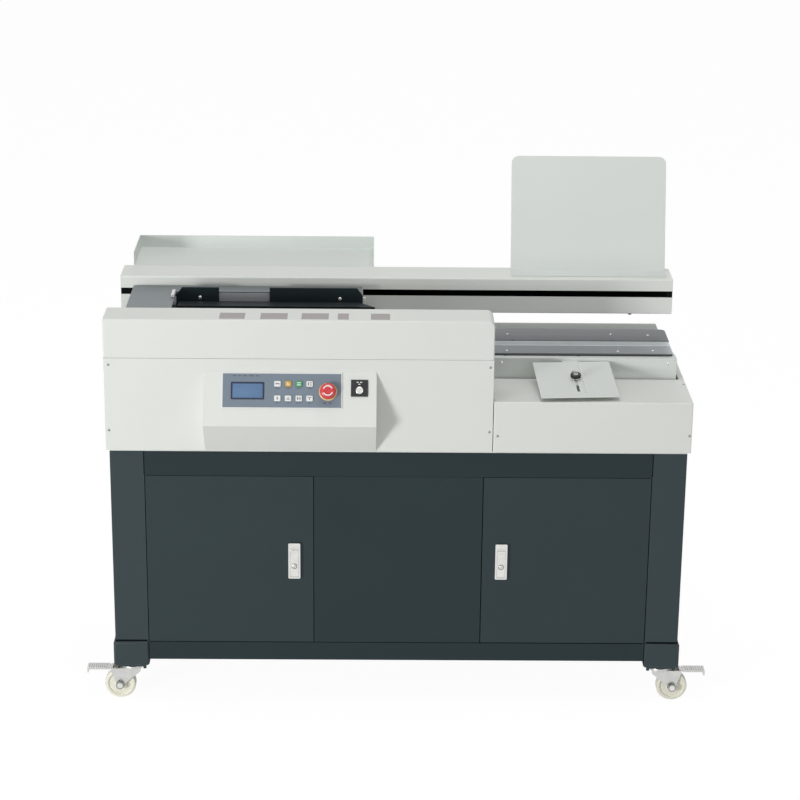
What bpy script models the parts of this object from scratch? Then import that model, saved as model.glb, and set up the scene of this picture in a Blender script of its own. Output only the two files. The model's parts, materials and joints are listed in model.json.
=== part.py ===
# Perfect binding machine: cabinet on castors, casing with a hinged lid, book clamp
# carriage on a rear beam, milling cutter, glue tank and lifting nip table.
# Metres, +Z up, +X to the operator's right, the operator stands at -Y.
# Depths are measured from the cabinet's front plane, heights from the floor.

import bpy
import bmesh
from math import atan2, cos, hypot, pi, radians, sin
from mathutils import Matrix, Vector

# Shared fits
GAP = 0.0003
RUN = 0.0005
OVERRUN = 0.010
SINK = 0.001
SHEET = 0.0015
MERGE = 0.00003
STUD_STEPS = 8
PIN_STEPS = 12
SHAFT_STEPS = 16
ROUND_STEPS = 20
WHEEL_STEPS = 24
DRUM_STEPS = 32
ARC_STEPS = 5
SMOOTH_ANGLE = radians(30)
BEVEL_ANGLE = radians(60)

# Cabinet
CABINET_W = 1.360
CABINET_D = 0.480
CABINET_BOTTOM = 0.110
CABINET_TOP = 0.646
POST_W = 0.080
TOP_RAIL_H = 0.0605
BOTTOM_RAIL_H = 0.046
CABINET_FRONT_WALL = 0.030
CABINET_SIDE_WALL = 0.004
CABINET_FLOOR = 0.008
CABINET_TOP_WALL = 0.012
TOP_RIM_X = 0.060
TOP_RIM_Y = 0.050
BACK_OPENING_RIM = 0.100
BACK_OPENING_RIM_Z = 0.060
BACK_PANEL_T = 0.002
BACK_PANEL_LAP = 0.009
BOOT_W = 0.086
BOOT_D = 0.060
BOOT_BOTTOM = 0.094
BOOT_TOP = 0.157
BOOT_FLARE = 0.005
BOOT_BEVEL = 0.004

# Doors and centre panel
DOOR_GAP = 0.0015
CENTRE_PANEL_W = 0.400
DOOR_D = 0.018
DOOR_SET_BACK = 0.001
DOOR_PIN_R = 0.002
DOOR_PIN_L = 0.006
DOOR_PIN_IN = 0.0024
LOCK_W = 0.029
LOCK_H = 0.091
LOCK_D = 0.008
LOCK_FROM_EDGE = 0.0454
LOCK_Z = 0.3715
LOCK_BORDER = 0.0045
PADDLE_H = 0.070
PADDLE_D = 0.0035
PADDLE_BACK_GAP = 0.001

# Castors
CASTOR_PLATE_T = 0.0035
CASTOR_PLATE_W = 0.070
CASTOR_PLATE_D = 0.054
STUD_R = 0.004
STUD_L = 0.006
WHEEL_R = 0.0375
WHEEL_W = 0.024
WHEEL_TRAIL = 0.031
WHEEL_HUB_R = 0.012
WHEEL_DISH = 0.003
WHEEL_TYRE = 0.009
WHEEL_CROWN = 0.004
AXLE_R = 0.004
CHEEK_T = 0.0022
CHEEK_GAP = 0.0018
CHEEK_FOOT = 0.009
CASTOR_CAP_R = 0.024
CASTOR_CAP_T = 0.011
CASTOR_CROWN_SHARE = 0.7
BRIDGE_T = 0.003
BRIDGE_BACK_SHARE = 0.8
PEDAL_PIVOT_OUT = 0.0490
PEDAL_PIVOT_Z = 0.0770
PEDAL_PIN_R = 0.002
PEDAL_KNUCKLE_R = 0.0035
PEDAL_TIP_OUT = 0.110
PEDAL_T = 0.003
PEDAL_W = 0.030
PEDAL_LIP = 0.012

# Deck and casing
DECK_T = 0.005
CASE_W = 1.374
CASE_FRONT = 0.008
CASE_BEHIND_CABINET = 0.0075
COVER_SPLIT_X = 0.220
COVER_SPLIT = 0.0015
SEAM_Z = 0.8777
SEAM = 0.0008
LID_TOP = 0.971
LID_D = 0.096
LID_CORNER_R = 0.015
REAR_COVER_TOP = 0.880
RIGHT_COVER_TOP = 0.776
NIP_WELL_AHEAD = 0.004
NIP_WELL_RIGHT = 0.6735

# The spine's line, along which the book is milled, glued and pressed
WORK_FROM_BACK = 0.180

# Control box on the left cover
BOX_CENTRE_X = -0.2545
BOX_W = 0.402
BOX_TOP = 0.848
BOX_EDGE_Z = 0.733
BOX_OUT = 0.060
BOX_FOOT_Z = 0.652
BOX_WALL = 0.0018
PLATE_X = -0.2728
PLATE_DOWN = 0.0458
PLATE_W = 0.2788
PLATE_H = 0.0838
PLATE_T = 0.002
PLATE_RIM = 0.007
DISPLAY_X = -0.3525
DISPLAY_DOWN = 0.0463
DISPLAY_W = 0.0770
DISPLAY_H = 0.0406
DISPLAY_UP = 0.001
DISPLAY_BEHIND = 0.007
BUTTON_FIRST_X = -0.2831
BUTTON_PITCH_X = 0.0248
BUTTON_FIRST_DOWN = 0.0302
BUTTON_PITCH_DOWN = 0.0341
BUTTON_COLUMNS = 4
BUTTON_ROWS = 2
BUTTON_W = 0.0150
BUTTON_H = 0.0133
BUTTON_UP = 0.0030
BUTTON_BEHIND = 0.004
BUTTON_BEVEL = 0.0008
ESTOP_X = -0.1662
ESTOP_DOWN = 0.0480
ESTOP_RING_R = 0.021
ESTOP_RING_T = 0.003
ESTOP_SHANK_R = 0.011
ESTOP_SHANK_L = 0.024
ESTOP_STEM_R = 0.007
ESTOP_HEAD_R = 0.019
ESTOP_HEAD_T = 0.012
ESTOP_HEAD_UP = 0.0095
ESTOP_HEAD_DOME = 0.004
KEY_X = -0.0933
KEY_DOWN = 0.0390
KEY_PLATE_W = 0.0396
KEY_PLATE_T = 0.002
KEY_BARREL_DOWN = 0.0448
KEY_SHANK_R = 0.0115
KEY_SHANK_L = 0.018
KEY_BARREL_R = 0.0088
KEY_BARREL_UP = 0.005
KEY_BARREL_BEHIND = 0.010
KEY_SLOT_W = 0.002
KEY_SLOT_D = 0.003

# Rear beam with its tray and rack
BEAM_LEFT = -0.6825
BEAM_RIGHT = 0.675
BEAM_BEHIND_WORK = 0.060
BEAM_D = 0.1045
BEAM_BOTTOM = 0.883
BEAM_TOP = 0.971
BEAM_WALL = 0.003
SLOT_LOW = 0.9255
SLOT_H = 0.016
LEG_W = 0.060
LEG_D = 0.055
LEG_IN = 0.025
LEFT_LEG_X = -0.610
RIGHT_LEG_X = 0.160
BEAM_STUD_X = 0.574
BEAM_STUD_R = 0.004
BEAM_STUD_L = 0.008
RAIL_SIZE = 0.020
RAIL_IN = 0.052
RAIL_SHORT = 0.020
TRAY_LEFT = -0.660
TRAY_RIGHT = -0.061
TRAY_D = 0.1715
TRAY_WALL_TOP = 1.003
TRAY_FLANGE_H = 0.040
RACK_LEFT = 0.279
RACK_W = 0.384
RACK_T = 0.002
RACK_IN = 0.024
RACK_LEDGE_D = 0.057
RACK_L = 0.283
RACK_LEAN = radians(15)
RACK_CORNER_R = 0.018

# Carriage with the book clamp
CARRIAGE_LEFT = -0.650
CARRIAGE_RIGHT = -0.090
TABLE_TOP = 0.949
TABLE_T = 0.003
TABLE_BEAM_GAP = 0.005
TABLE_D = 0.215
JAW_LEFT = -0.541
JAW_RIGHT = -0.088
JAW_BOTTOM = 0.885
REAR_JAW_BEHIND_WORK = 0.0055
SADDLE_PLATE_T = 0.008
SADDLE_PLATE_END = 0.010
SADDLE_X = -0.370
SADDLE_L = 0.260
SADDLE_D = 0.0545
SADDLE_TOP = 0.939
SADDLE_ARM_T = 0.010
SADDLE_FLOOR_GAP = 0.0045
PAD_T = 0.0047
PAD_TOP = 0.9605
PAD_BOTTOM = 0.895
PAD_CHAMFER_X = 0.014
PAD_CHAMFER_Z = 0.019
PAD_NOTCH_LEFT = -0.4375
PAD_NOTCH_RIGHT = -0.3145
PAD_NOTCH_LOW = 0.925
FRONT_JAW_AHEAD = 0.016
FRONT_JAW_T = 0.038
FRONT_JAW_TOP = 0.930
FRONT_JAW_END_GAP = 0.006
FRONT_JAW_FLARE = 0.036
FLARE_T = 0.008
CLAMP_ROD_R = 0.008
CLAMP_ROD_IN = 0.026
CLAMP_ROD_Z = 0.905
CLAMP_ROD_AHEAD = 0.150
GEARBOX_W = 0.090
GEARBOX_FROM_LEFT = 0.006
GEARBOX_FROM_FRONT = 0.010
GEARBOX_D = 0.150
GEARBOX_BEVEL = 0.003

# Milling and gluing
MILL_X = -0.005
MILL_MOTOR_R = 0.045
MILL_MOTOR_TOP = 0.800
CUTTER_R = 0.055
CUTTER_TOP = 0.858
CUTTER_T = 0.020
CUTTER_TEETH = 8
CUTTER_TOOTH_W = 0.010
CUTTER_TOOTH_D = 0.006
CUTTER_SHAFT_R = 0.009
CUTTER_SHAFT_IN = 0.018
TANK_LEFT = 0.075
TANK_W = 0.130
TANK_AHEAD = 0.075
TANK_D = 0.140
TANK_BOTTOM = 0.760
TANK_TOP = 0.842
TANK_WALL = 0.003
PEDESTAL_W = 0.080
PEDESTAL_D = 0.070
ROLLER_R = 0.027
ROLLER_Z = 0.832
ROLLER_OFF = 0.031
ROLLER_END_GAP = 0.004
ROLLER_SHAFT_R = 0.006
ROLLER_SHAFT_OUT = 0.003

# Nip table
NIP_LEFT = 0.228
NIP_RIGHT = 0.668
NIP_AHEAD = 0.128
NIP_BEHIND = 0.165
NIP_REAR_RIGHT = 0.650
REAR_NIP_BEHIND = 0.100
NIP_TOP = 0.827
NIP_TOP_T = 0.012
NIP_SKIRT_T = 0.003
NIP_SKIRT_BOTTOM = 0.700
NIP_PLATE_T = 0.0040
NIP_GAP = 0.006
NIP_CORNER_R = 0.012
NIP_LIP_D = 0.018
FRONT_NIP_RIGHT = 0.661
FRONT_NIP_STEP_AHEAD = 0.038
FRONT_NIP_LOW_T = 0.0032
REAR_NIP_RIGHT = 0.664
LIFT_ROD_R = 0.012
LIFT_ROD_LEFT_X = 0.300
LIFT_ROD_RIGHT_X = 0.600
LIFT_ROD_BEHIND = 0.010
LIFT_ROD_BOTTOM = 0.662
LIFT_BASE_TOP = 0.740
LIFT_BASE_W = 0.360
LIFT_BASE_D = 0.070

# Cover guide plate on the nip table's front
GUIDE_X = 0.4115
GUIDE_AHEAD = 0.0055
GUIDE_Z = 0.8215
GUIDE_TILT = radians(11.6)
GUIDE_TURN = radians(4.0)
GUIDE_W = 0.185
GUIDE_L = 0.168
GUIDE_BACK_GAP = 0.004
GUIDE_T = 0.002
GUIDE_SLOT_W = 0.0065
GUIDE_SLOT_BACK = 0.045
GUIDE_SLOT_L = 0.100
KNOB_BACK = 0.083
KNOB_R = 0.0125
KNOB_H = 0.013
KNOB_FOOT_R = 0.009
KNOB_FOOT_H = 0.002
KNOB_RIM = 0.0012
KNOB_STUD_R = 0.0025
KNOB_STUD_SHARE = 0.6
BRACKET_W = 0.040
BRACKET_L = 0.110
BRACKET_T = 0.003
BRACKET_REACH = 0.0075

# Power inlet on the rear cover
INLET_X = -0.580
INLET_Z = 0.690
INLET_W = 0.050
INLET_H = 0.030
INLET_D = 0.012
INLET_WALL = 0.003

# Sizes worked out from the ones above
SLOPE_FALL = BOX_TOP - BOX_EDGE_Z
SLOPE_L = hypot(SLOPE_FALL, BOX_OUT)
SLOPE_SIN = BOX_OUT / SLOPE_L
SLOPE_COS = SLOPE_FALL / SLOPE_L
ESTOP_RIM_UP = ESTOP_HEAD_UP + ESTOP_HEAD_T - ESTOP_HEAD_DOME
CASE_BACK = CABINET_D + CASE_BEHIND_CABINET
WORK_LINE = CABINET_D - WORK_FROM_BACK
BEAM_FRONT = WORK_LINE + BEAM_BEHIND_WORK
BEAM_BACK = BEAM_FRONT + BEAM_D
RAIL_Y = BEAM_FRONT + RAIL_IN
TRAY_BACK = BEAM_BACK + TRAY_D
RACK_LEDGE_FRONT = BEAM_FRONT + RACK_IN
RACK_CREASE = RACK_LEDGE_FRONT + RACK_LEDGE_D
TABLE_BACK = BEAM_FRONT - TABLE_BEAM_GAP
TABLE_FRONT = TABLE_BACK - TABLE_D
REAR_JAW_FACE = WORK_LINE + REAR_JAW_BEHIND_WORK
FRONT_JAW_BACK = WORK_LINE - FRONT_JAW_AHEAD
CLAMP_ROD_FRONT = WORK_LINE - CLAMP_ROD_AHEAD
GEARBOX_FRONT = TABLE_FRONT + GEARBOX_FROM_FRONT
TANK_FRONT = WORK_LINE - TANK_AHEAD
NIP_FRONT = WORK_LINE - NIP_AHEAD
NIP_BACK = WORK_LINE + NIP_BEHIND
NIP_REAR_STEP = WORK_LINE + REAR_NIP_BEHIND
NIP_WELL_FRONT = NIP_FRONT - NIP_WELL_AHEAD
FRONT_NIP_FRONT = NIP_FRONT + NIP_LIP_D
FRONT_NIP_STEP = WORK_LINE - FRONT_NIP_STEP_AHEAD
LIFT_ROD_Y = WORK_LINE + LIFT_ROD_BEHIND
GUIDE_Y = NIP_FRONT - GUIDE_AHEAD
FRONT_REACH = CASE_FRONT + BOX_OUT
CABINET_FRONT_Y = (FRONT_REACH - TRAY_BACK) / 2
HALF_W = CABINET_W / 2
CASE_HALF_W = CASE_W / 2
POST_INNER = HALF_W - POST_W
OPENING_TOP = CABINET_TOP - TOP_RAIL_H
OPENING_BOTTOM = CABINET_BOTTOM + BOTTOM_RAIL_H
DECK_BOTTOM = CABINET_TOP + GAP
DECK_TOP = DECK_BOTTOM + DECK_T
DECK_FOOT = DECK_TOP + GAP
CASE_BOTTOM = DECK_FOOT
BOOT_CENTRE_X = HALF_W + BOOT_FLARE - BOOT_W / 2
BOOT_FRONT_Y = BOOT_D / 2 - BOOT_FLARE
BOOT_REAR_Y = CABINET_D - BOOT_FRONT_Y
CASTOR_PLATE_BOTTOM = BOOT_BOTTOM - CASTOR_PLATE_T
TABLE_BOTTOM = TABLE_TOP - TABLE_T
LEFT_COVER_RIGHT = COVER_SPLIT_X - COVER_SPLIT / 2
RIGHT_COVER_LEFT = COVER_SPLIT_X + COVER_SPLIT / 2
LID_BACK = LID_D - CASE_FRONT

# Colours as the photograph shows them, with roughness and metallic
OFF_WHITE = (0.780, 0.800, 0.770, 0.45, 0.0)
CREAM = (0.720, 0.745, 0.730, 0.45, 0.0)
SLATE = (0.026, 0.038, 0.042, 0.50, 0.0)
SLATE_LIGHT = (0.032, 0.046, 0.051, 0.50, 0.0)
BLACK = (0.010, 0.011, 0.012, 0.45, 0.0)
STEEL = (0.450, 0.460, 0.470, 0.30, 1.0)
GREY_STEEL = (0.190, 0.210, 0.225, 0.40, 0.6)
CHROME = (0.750, 0.750, 0.740, 0.15, 1.0)
ZINC = (0.620, 0.630, 0.640, 0.35, 1.0)
NYLON = (0.780, 0.740, 0.600, 0.50, 0.0)
PANEL_BLUE = (0.190, 0.235, 0.300, 0.45, 0.0)
SCREEN_BLUE = (0.070, 0.150, 0.420, 0.20, 0.0)
RED = (0.700, 0.030, 0.030, 0.30, 0.0)
YELLOW = (0.850, 0.600, 0.060, 0.40, 0.0)
GREEN = (0.040, 0.420, 0.120, 0.40, 0.0)
WHITE = (0.850, 0.850, 0.850, 0.40, 0.0)


# Scene helpers

def clear_scene():
    for old in list(bpy.data.objects):
        bpy.data.objects.remove(old, do_unlink=True)


def new_collection(name):
    made = bpy.data.collections.new(name)
    bpy.context.scene.collection.children.link(made)
    return made


clear_scene()
PARTS = new_collection("perfect_binding_machine")
TOOLS = new_collection("cutters")


def new_empty(name, location=(0, 0, 0), rotation=(0, 0, 0), parent=None):
    empty = bpy.data.objects.new(name, None)
    empty.location = location
    empty.rotation_euler = rotation
    empty.parent = parent
    PARTS.objects.link(empty)
    return empty


MACHINE = new_empty("machine_frame", (0, CABINET_FRONT_Y, 0))
PANEL = new_empty("control_panel_plane", (0, -CASE_FRONT, BOX_TOP),
                  (atan2(SLOPE_COS, SLOPE_SIN), 0, 0), MACHINE)
GUIDE = new_empty("cover_guide_plane", (GUIDE_X, GUIDE_Y, GUIDE_Z),
                  (GUIDE_TILT, 0, GUIDE_TURN), MACHINE)


def new_object(name, form, parent=None):
    mesh = bpy.data.meshes.new(name)
    form.to_mesh(mesh)
    form.free()
    piece = bpy.data.objects.new(name, mesh)
    piece.parent = parent or MACHINE
    PARTS.objects.link(piece)
    return piece


def box(name, low, high, parent=None):
    return boxes(name, [(low, high)], parent)


def boxes(name, corners, parent=None):
    form = bmesh.new()
    for low, high in corners:
        size = [high[i] - low[i] for i in range(3)]
        centre = [(high[i] + low[i]) / 2 for i in range(3)]
        matrix = Matrix.Translation(centre) @ Matrix.Diagonal((*size, 1))
        bmesh.ops.create_cube(form, size=1, matrix=matrix)
    return new_object(name, form, parent)


AXIS_TURN = {"X": Matrix.Rotation(pi / 2, 4, "Y"),
             "Y": Matrix.Rotation(pi / 2, 4, "X"),
             "Z": Matrix.Identity(4)}


def rods(name, centres, axis, radius, length, parent=None, steps=ROUND_STEPS):
    form = bmesh.new()
    for centre in centres:
        matrix = Matrix.Translation(centre) @ AXIS_TURN[axis]
        bmesh.ops.create_cone(form, cap_ends=True, segments=steps, radius1=radius,
                              radius2=radius, depth=length, matrix=matrix)
    return new_object(name, form, parent)


def rod(name, centre, axis, radius, length, parent=None, steps=ROUND_STEPS):
    return rods(name, [centre], axis, radius, length, parent, steps)


def evaluated_form(source):
    """The welded shape of an object with its modifiers; the object is removed."""
    graph = bpy.context.evaluated_depsgraph_get()
    mesh = bpy.data.meshes.new_from_object(source.evaluated_get(graph))
    form = bmesh.new()
    form.from_mesh(mesh)
    bmesh.ops.remove_doubles(form, verts=form.verts, dist=MERGE)
    bmesh.ops.recalc_face_normals(form, faces=form.faces)
    bpy.data.meshes.remove(mesh)
    bpy.data.objects.remove(source, do_unlink=True)
    return form


def outline(name, points, low, high, axis, parent=None):
    """A flat outline, given across its axis, made solid from low to high along it."""
    curve = bpy.data.curves.new(name, "CURVE")
    curve.dimensions = "2D"
    curve.fill_mode = "BOTH"
    curve.extrude = (high - low) / 2
    spline = curve.splines.new("POLY")
    spline.points.add(len(points) - 1)
    for point, (u, v) in zip(spline.points, points):
        point.co = (u, v, 0, 1)
    spline.use_cyclic_u = True
    flat = bpy.data.objects.new(name, curve)
    PARTS.objects.link(flat)
    form = evaluated_form(flat)
    bpy.data.curves.remove(curve)
    middle = (low + high) / 2
    turn = {"X": Matrix(((0, 0, 1, middle), (1, 0, 0, 0), (0, 1, 0, 0), (0, 0, 0, 1))),
            "Y": Matrix(((1, 0, 0, 0), (0, 0, 1, middle), (0, 1, 0, 0), (0, 0, 0, 1))),
            "Z": Matrix.Translation((0, 0, middle))}[axis]
    bmesh.ops.transform(form, matrix=turn, verts=form.verts)
    bmesh.ops.recalc_face_normals(form, faces=form.faces)
    return new_object(name, form, parent)


def turned(name, profile, axis="Z", centre=(0, 0, 0), parent=None, ring=False,
           steps=ROUND_STEPS):
    """A turned solid from (radius, height) pairs; a ring's profile closes on itself."""
    form = bmesh.new()
    corners = [form.verts.new((radius, 0, height)) for radius, height in profile]
    for first, second in zip(corners, corners[1:]):
        form.edges.new((first, second))
    if ring:
        form.edges.new((corners[-1], corners[0]))
    spun = new_object(name, form)
    spun.parent = None
    screw = spun.modifiers.new("turn", "SCREW")
    screw.axis = "Z"
    screw.steps = steps
    screw.render_steps = steps
    screw.use_merge_vertices = True
    screw.merge_threshold = MERGE
    form = evaluated_form(spun)
    matrix = Matrix.Translation(centre) @ AXIS_TURN[axis]
    bmesh.ops.transform(form, matrix=matrix, verts=form.verts)
    made = new_object(name, form, parent)
    made.data.shade_smooth()
    made.data.set_sharp_from_angle(angle=SMOOTH_ANGLE)
    return made


def as_tool(tool):
    for home in list(tool.users_collection):
        home.objects.unlink(tool)
    TOOLS.objects.link(tool)
    tool.hide_render = True
    tool.display_type = "WIRE"


def boolean(piece, tool, operation):
    as_tool(tool)
    step = piece.modifiers.new(tool.name, "BOOLEAN")
    step.operation = operation
    step.solver = "EXACT"
    step.object = tool


def cut(piece, tool):
    boolean(piece, tool, "DIFFERENCE")


def join(piece, tool):
    boolean(piece, tool, "UNION")


def bevel(piece, width):
    soft = piece.modifiers.new("edge", "BEVEL")
    soft.width = width
    soft.segments = 1
    soft.limit_method = "ANGLE"
    soft.angle_limit = BEVEL_ANGLE


def finish(piece, look, pivot=None):
    """Give a piece its material and, if it moves, its origin on its joint's axis."""
    material = bpy.data.materials.new(piece.name)
    material.use_nodes = True
    shader = material.node_tree.nodes["Principled BSDF"]
    shader.inputs["Base Color"].default_value = (*look[:3], 1)
    shader.inputs["Roughness"].default_value = look[3]
    shader.inputs["Metallic"].default_value = look[4]
    piece.data.materials.append(material)
    if pivot is not None:
        piece.data.transform(Matrix.Translation(-Vector(pivot)))
        piece.location = pivot
    return piece


def arc(centre, radius, start, end, steps=ARC_STEPS):
    turn = [start + (end - start) * i / steps for i in range(steps + 1)]
    return [(centre[0] + radius * cos(a), centre[1] + radius * sin(a)) for a in turn]


# Cabinet

def make_cabinet_body():
    body = box("cabinet_body", (-HALF_W, 0, CABINET_BOTTOM), (HALF_W, CABINET_D, CABINET_TOP))
    inner_x = HALF_W - CABINET_SIDE_WALL
    cavity_back = CABINET_D - CABINET_FRONT_WALL
    cut(body, box("cabinet_cavity",
                  (-inner_x, CABINET_FRONT_WALL, CABINET_BOTTOM + CABINET_FLOOR),
                  (inner_x, cavity_back, CABINET_TOP - CABINET_TOP_WALL)))
    rim_x = HALF_W - TOP_RIM_X
    cut(body, box("cabinet_top_opening",
                  (-rim_x, TOP_RIM_Y, CABINET_TOP - CABINET_TOP_WALL - SINK),
                  (rim_x, CABINET_D - TOP_RIM_Y, CABINET_TOP + OVERRUN)))
    cut(body, box("cabinet_front_opening", (-POST_INNER, -OVERRUN, OPENING_BOTTOM),
                  (POST_INNER, CABINET_FRONT_WALL + SINK, OPENING_TOP)))
    back_x = HALF_W - BACK_OPENING_RIM
    cut(body, box("cabinet_back_opening",
                  (-back_x, cavity_back - SINK, CABINET_BOTTOM + BACK_OPENING_RIM_Z),
                  (back_x, CABINET_D + OVERRUN, CABINET_TOP - BACK_OPENING_RIM_Z)))
    boots = []
    plates = []
    studs = []
    for side in (-1, 1):
        for y in (BOOT_FRONT_Y, BOOT_REAR_Y):
            x = side * BOOT_CENTRE_X
            boots.append(((x - BOOT_W / 2, y - BOOT_D / 2, BOOT_BOTTOM),
                          (x + BOOT_W / 2, y + BOOT_D / 2, BOOT_TOP)))
            plates.append(((x - CASTOR_PLATE_W / 2, y - CASTOR_PLATE_D / 2, CASTOR_PLATE_BOTTOM),
                           (x + CASTOR_PLATE_W / 2, y + CASTOR_PLATE_D / 2, BOOT_BOTTOM + SINK)))
            for end in (-1, 1):
                studs.append((x + end * (CASTOR_PLATE_W / 2 - STUD_R),
                              y - CASTOR_PLATE_D / 2 + STUD_R,
                              CASTOR_PLATE_BOTTOM - STUD_L / 2 + SINK))
    feet = boxes("boots", boots)
    bevel(feet, BOOT_BEVEL)
    join(body, feet)
    join(body, boxes("castor_plates", plates))
    join(body, rods("boot_studs", studs, "Z", STUD_R, STUD_L, steps=STUD_STEPS))
    holes = []
    for side in (-1, 1):
        for z in (OPENING_TOP, OPENING_BOTTOM):
            holes.append((side * DOOR_PIN_X, DOOR_PIN_Y, z))
    hole_l = 2 * (DOOR_PIN_L + DOOR_GAP + RUN)
    cut(body, rods("door_pin_holes", holes, "Z", DOOR_PIN_R + GAP, hole_l, steps=PIN_STEPS))
    finish(body, SLATE)


DOOR_OUTER = POST_INNER - DOOR_GAP
DOOR_INNER = CENTRE_PANEL_W / 2 + DOOR_GAP
DOOR_TOP = OPENING_TOP - DOOR_GAP
DOOR_BOTTOM = OPENING_BOTTOM + DOOR_GAP
DOOR_PIN_X = DOOR_OUTER - DOOR_PIN_IN
DOOR_PIN_Y = DOOR_SET_BACK + DOOR_PIN_IN


def make_pan(name, low, high):
    """A folded sheet panel: a front face with returned edges, open at the back."""
    pan = box(name, low, high)
    cut(pan, box(name + "_hollow", (low[0] + SHEET, low[1] + SHEET, low[2] + SHEET),
                 (high[0] - SHEET, high[1] + OVERRUN, high[2] - SHEET)))
    return pan


def make_doors():
    for side, name in ((-1, "left"), (1, "right")):
        x0, x1 = sorted((side * DOOR_OUTER, side * DOOR_INNER))
        door = make_pan(name + "_door", (x0, DOOR_SET_BACK, DOOR_BOTTOM),
                        (x1, DOOR_SET_BACK + DOOR_D, DOOR_TOP))
        pin_x = side * DOOR_PIN_X
        pins = [(pin_x, DOOR_PIN_Y, DOOR_TOP + DOOR_PIN_L / 2 - SHEET / 2),
                (pin_x, DOOR_PIN_Y, DOOR_BOTTOM - DOOR_PIN_L / 2 + SHEET / 2)]
        join(door, rods(name + "_door_pins", pins, "Z", DOOR_PIN_R, DOOR_PIN_L + SHEET / 2,
                        steps=PIN_STEPS))
        finish(door, SLATE_LIGHT, (pin_x, DOOR_PIN_Y, DOOR_BOTTOM))
        make_lock(name, side * (DOOR_INNER + LOCK_FROM_EDGE))


def make_lock(name, x):
    face = DOOR_SET_BACK - GAP
    housing = box(name + "_lock", (x - LOCK_W / 2, face - LOCK_D, LOCK_Z - LOCK_H / 2),
                  (x + LOCK_W / 2, face, LOCK_Z + LOCK_H / 2))
    bevel(housing, LOCK_BORDER / 4)
    half = LOCK_W / 2 - LOCK_BORDER
    low = LOCK_Z - LOCK_H / 2 + LOCK_BORDER
    floor = face - LOCK_D + PADDLE_D + PADDLE_BACK_GAP
    cut(housing, box(name + "_lock_pocket", (x - half, face - LOCK_D - OVERRUN, low),
                     (x + half, floor, low + PADDLE_H)))
    finish(housing, CHROME)
    top = low + PADDLE_H - PADDLE_BACK_GAP
    paddle = box(name + "_paddle", (x - half + GAP, face - LOCK_D, low + GAP),
                 (x + half - GAP, face - LOCK_D + PADDLE_D, top))
    finish(paddle, CHROME, (x, face - LOCK_D + PADDLE_D / 2, top - PADDLE_D / 2))


def make_centre_and_back():
    half = CENTRE_PANEL_W / 2
    centre = make_pan("centre_panel", (-half, DOOR_SET_BACK, OPENING_BOTTOM + GAP),
                      (half, DOOR_SET_BACK + DOOR_D, OPENING_TOP - GAP))
    finish(centre, SLATE_LIGHT)
    back_x = HALF_W - BACK_OPENING_RIM + BACK_PANEL_LAP
    rim = BACK_OPENING_RIM_Z - BACK_PANEL_LAP
    back = box("back_panel", (-back_x, CABINET_D + GAP, CABINET_BOTTOM + rim),
               (back_x, CABINET_D + GAP + BACK_PANEL_T, CABINET_TOP - rim))
    finish(back, SLATE_LIGHT)


# Castors

def make_castor(name, side, y, braked):
    x = side * BOOT_CENTRE_X
    wheel_x = x + side * WHEEL_TRAIL
    cap_top = CASTOR_PLATE_BOTTOM - GAP
    cap_low = cap_top - CASTOR_CAP_T
    inner = WHEEL_W / 2 + CHEEK_GAP
    outer = inner + CHEEK_T
    fork = turned(name + "_fork", [(0, cap_top), (CASTOR_CAP_R * CASTOR_CROWN_SHARE, cap_top),
                                   (CASTOR_CAP_R, cap_low + CASTOR_CAP_T / 2),
                                   (CASTOR_CAP_R, cap_low), (0, cap_low)], "Z", (x, y, 0))
    bridge_low = cap_low - BRIDGE_T + SINK
    bridge_out = WHEEL_TRAIL + AXLE_R
    bridge_back = CASTOR_CAP_R * BRIDGE_BACK_SHARE
    x0, x1 = sorted((x - side * bridge_back, x + side * bridge_out))
    join(fork, box(name + "_bridge", (x0, y - outer, bridge_low),
                   (x1, y + outer, cap_low + SINK)))
    cheek_top = cap_low + SINK / 2
    reach = (PEDAL_PIVOT_OUT + PEDAL_KNUCKLE_R) if braked else bridge_out
    shape = [(-bridge_back, cheek_top), (reach, cheek_top),
             (reach, cheek_top - PEDAL_KNUCKLE_R * 2),
             (WHEEL_TRAIL + CHEEK_FOOT, WHEEL_R), (WHEEL_TRAIL, WHEEL_R - CHEEK_FOOT),
             (WHEEL_TRAIL - CHEEK_FOOT, WHEEL_R),
             (-bridge_back, cheek_top - PEDAL_KNUCKLE_R * 2)]
    shape = [(x + side * u, v) for u, v in shape]
    for end in (-1, 1):
        low, high = sorted((y + end * inner, y + end * outer))
        join(fork, outline(name + "_cheek_%d" % end, shape, low, high, "Y"))
    join(fork, rod(name + "_axle", (wheel_x, y, WHEEL_R), "Y", AXLE_R, 2 * outer + CHEEK_T,
                   steps=PIN_STEPS))
    pedal_x = x + side * PEDAL_PIVOT_OUT
    if braked:
        join(fork, rod(name + "_pedal_pin", (pedal_x, y, PEDAL_PIVOT_Z), "Y", PEDAL_PIN_R,
                       2 * outer, steps=PIN_STEPS))
    finish(fork, ZINC, (x, y, cap_top))
    half = WHEEL_W / 2
    rim = WHEEL_R - WHEEL_TYRE
    profile = [(AXLE_R + GAP, half), (WHEEL_HUB_R, half), (WHEEL_HUB_R, half - WHEEL_DISH),
               (rim, half - WHEEL_DISH), (rim, half), (WHEEL_R - WHEEL_CROWN, half),
               (WHEEL_R, half - WHEEL_CROWN), (WHEEL_R, -half + WHEEL_CROWN),
               (WHEEL_R - WHEEL_CROWN, -half), (rim, -half), (rim, -half + WHEEL_DISH),
               (WHEEL_HUB_R, -half + WHEEL_DISH), (WHEEL_HUB_R, -half),
               (AXLE_R + GAP, -half)]
    wheel = turned(name + "_wheel", profile, "Y", (wheel_x, y, WHEEL_R), ring=True,
                   steps=WHEEL_STEPS)
    finish(wheel, NYLON, (wheel_x, y, WHEEL_R))
    if braked:
        make_pedal(name, side, pedal_x, y, x)


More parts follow.
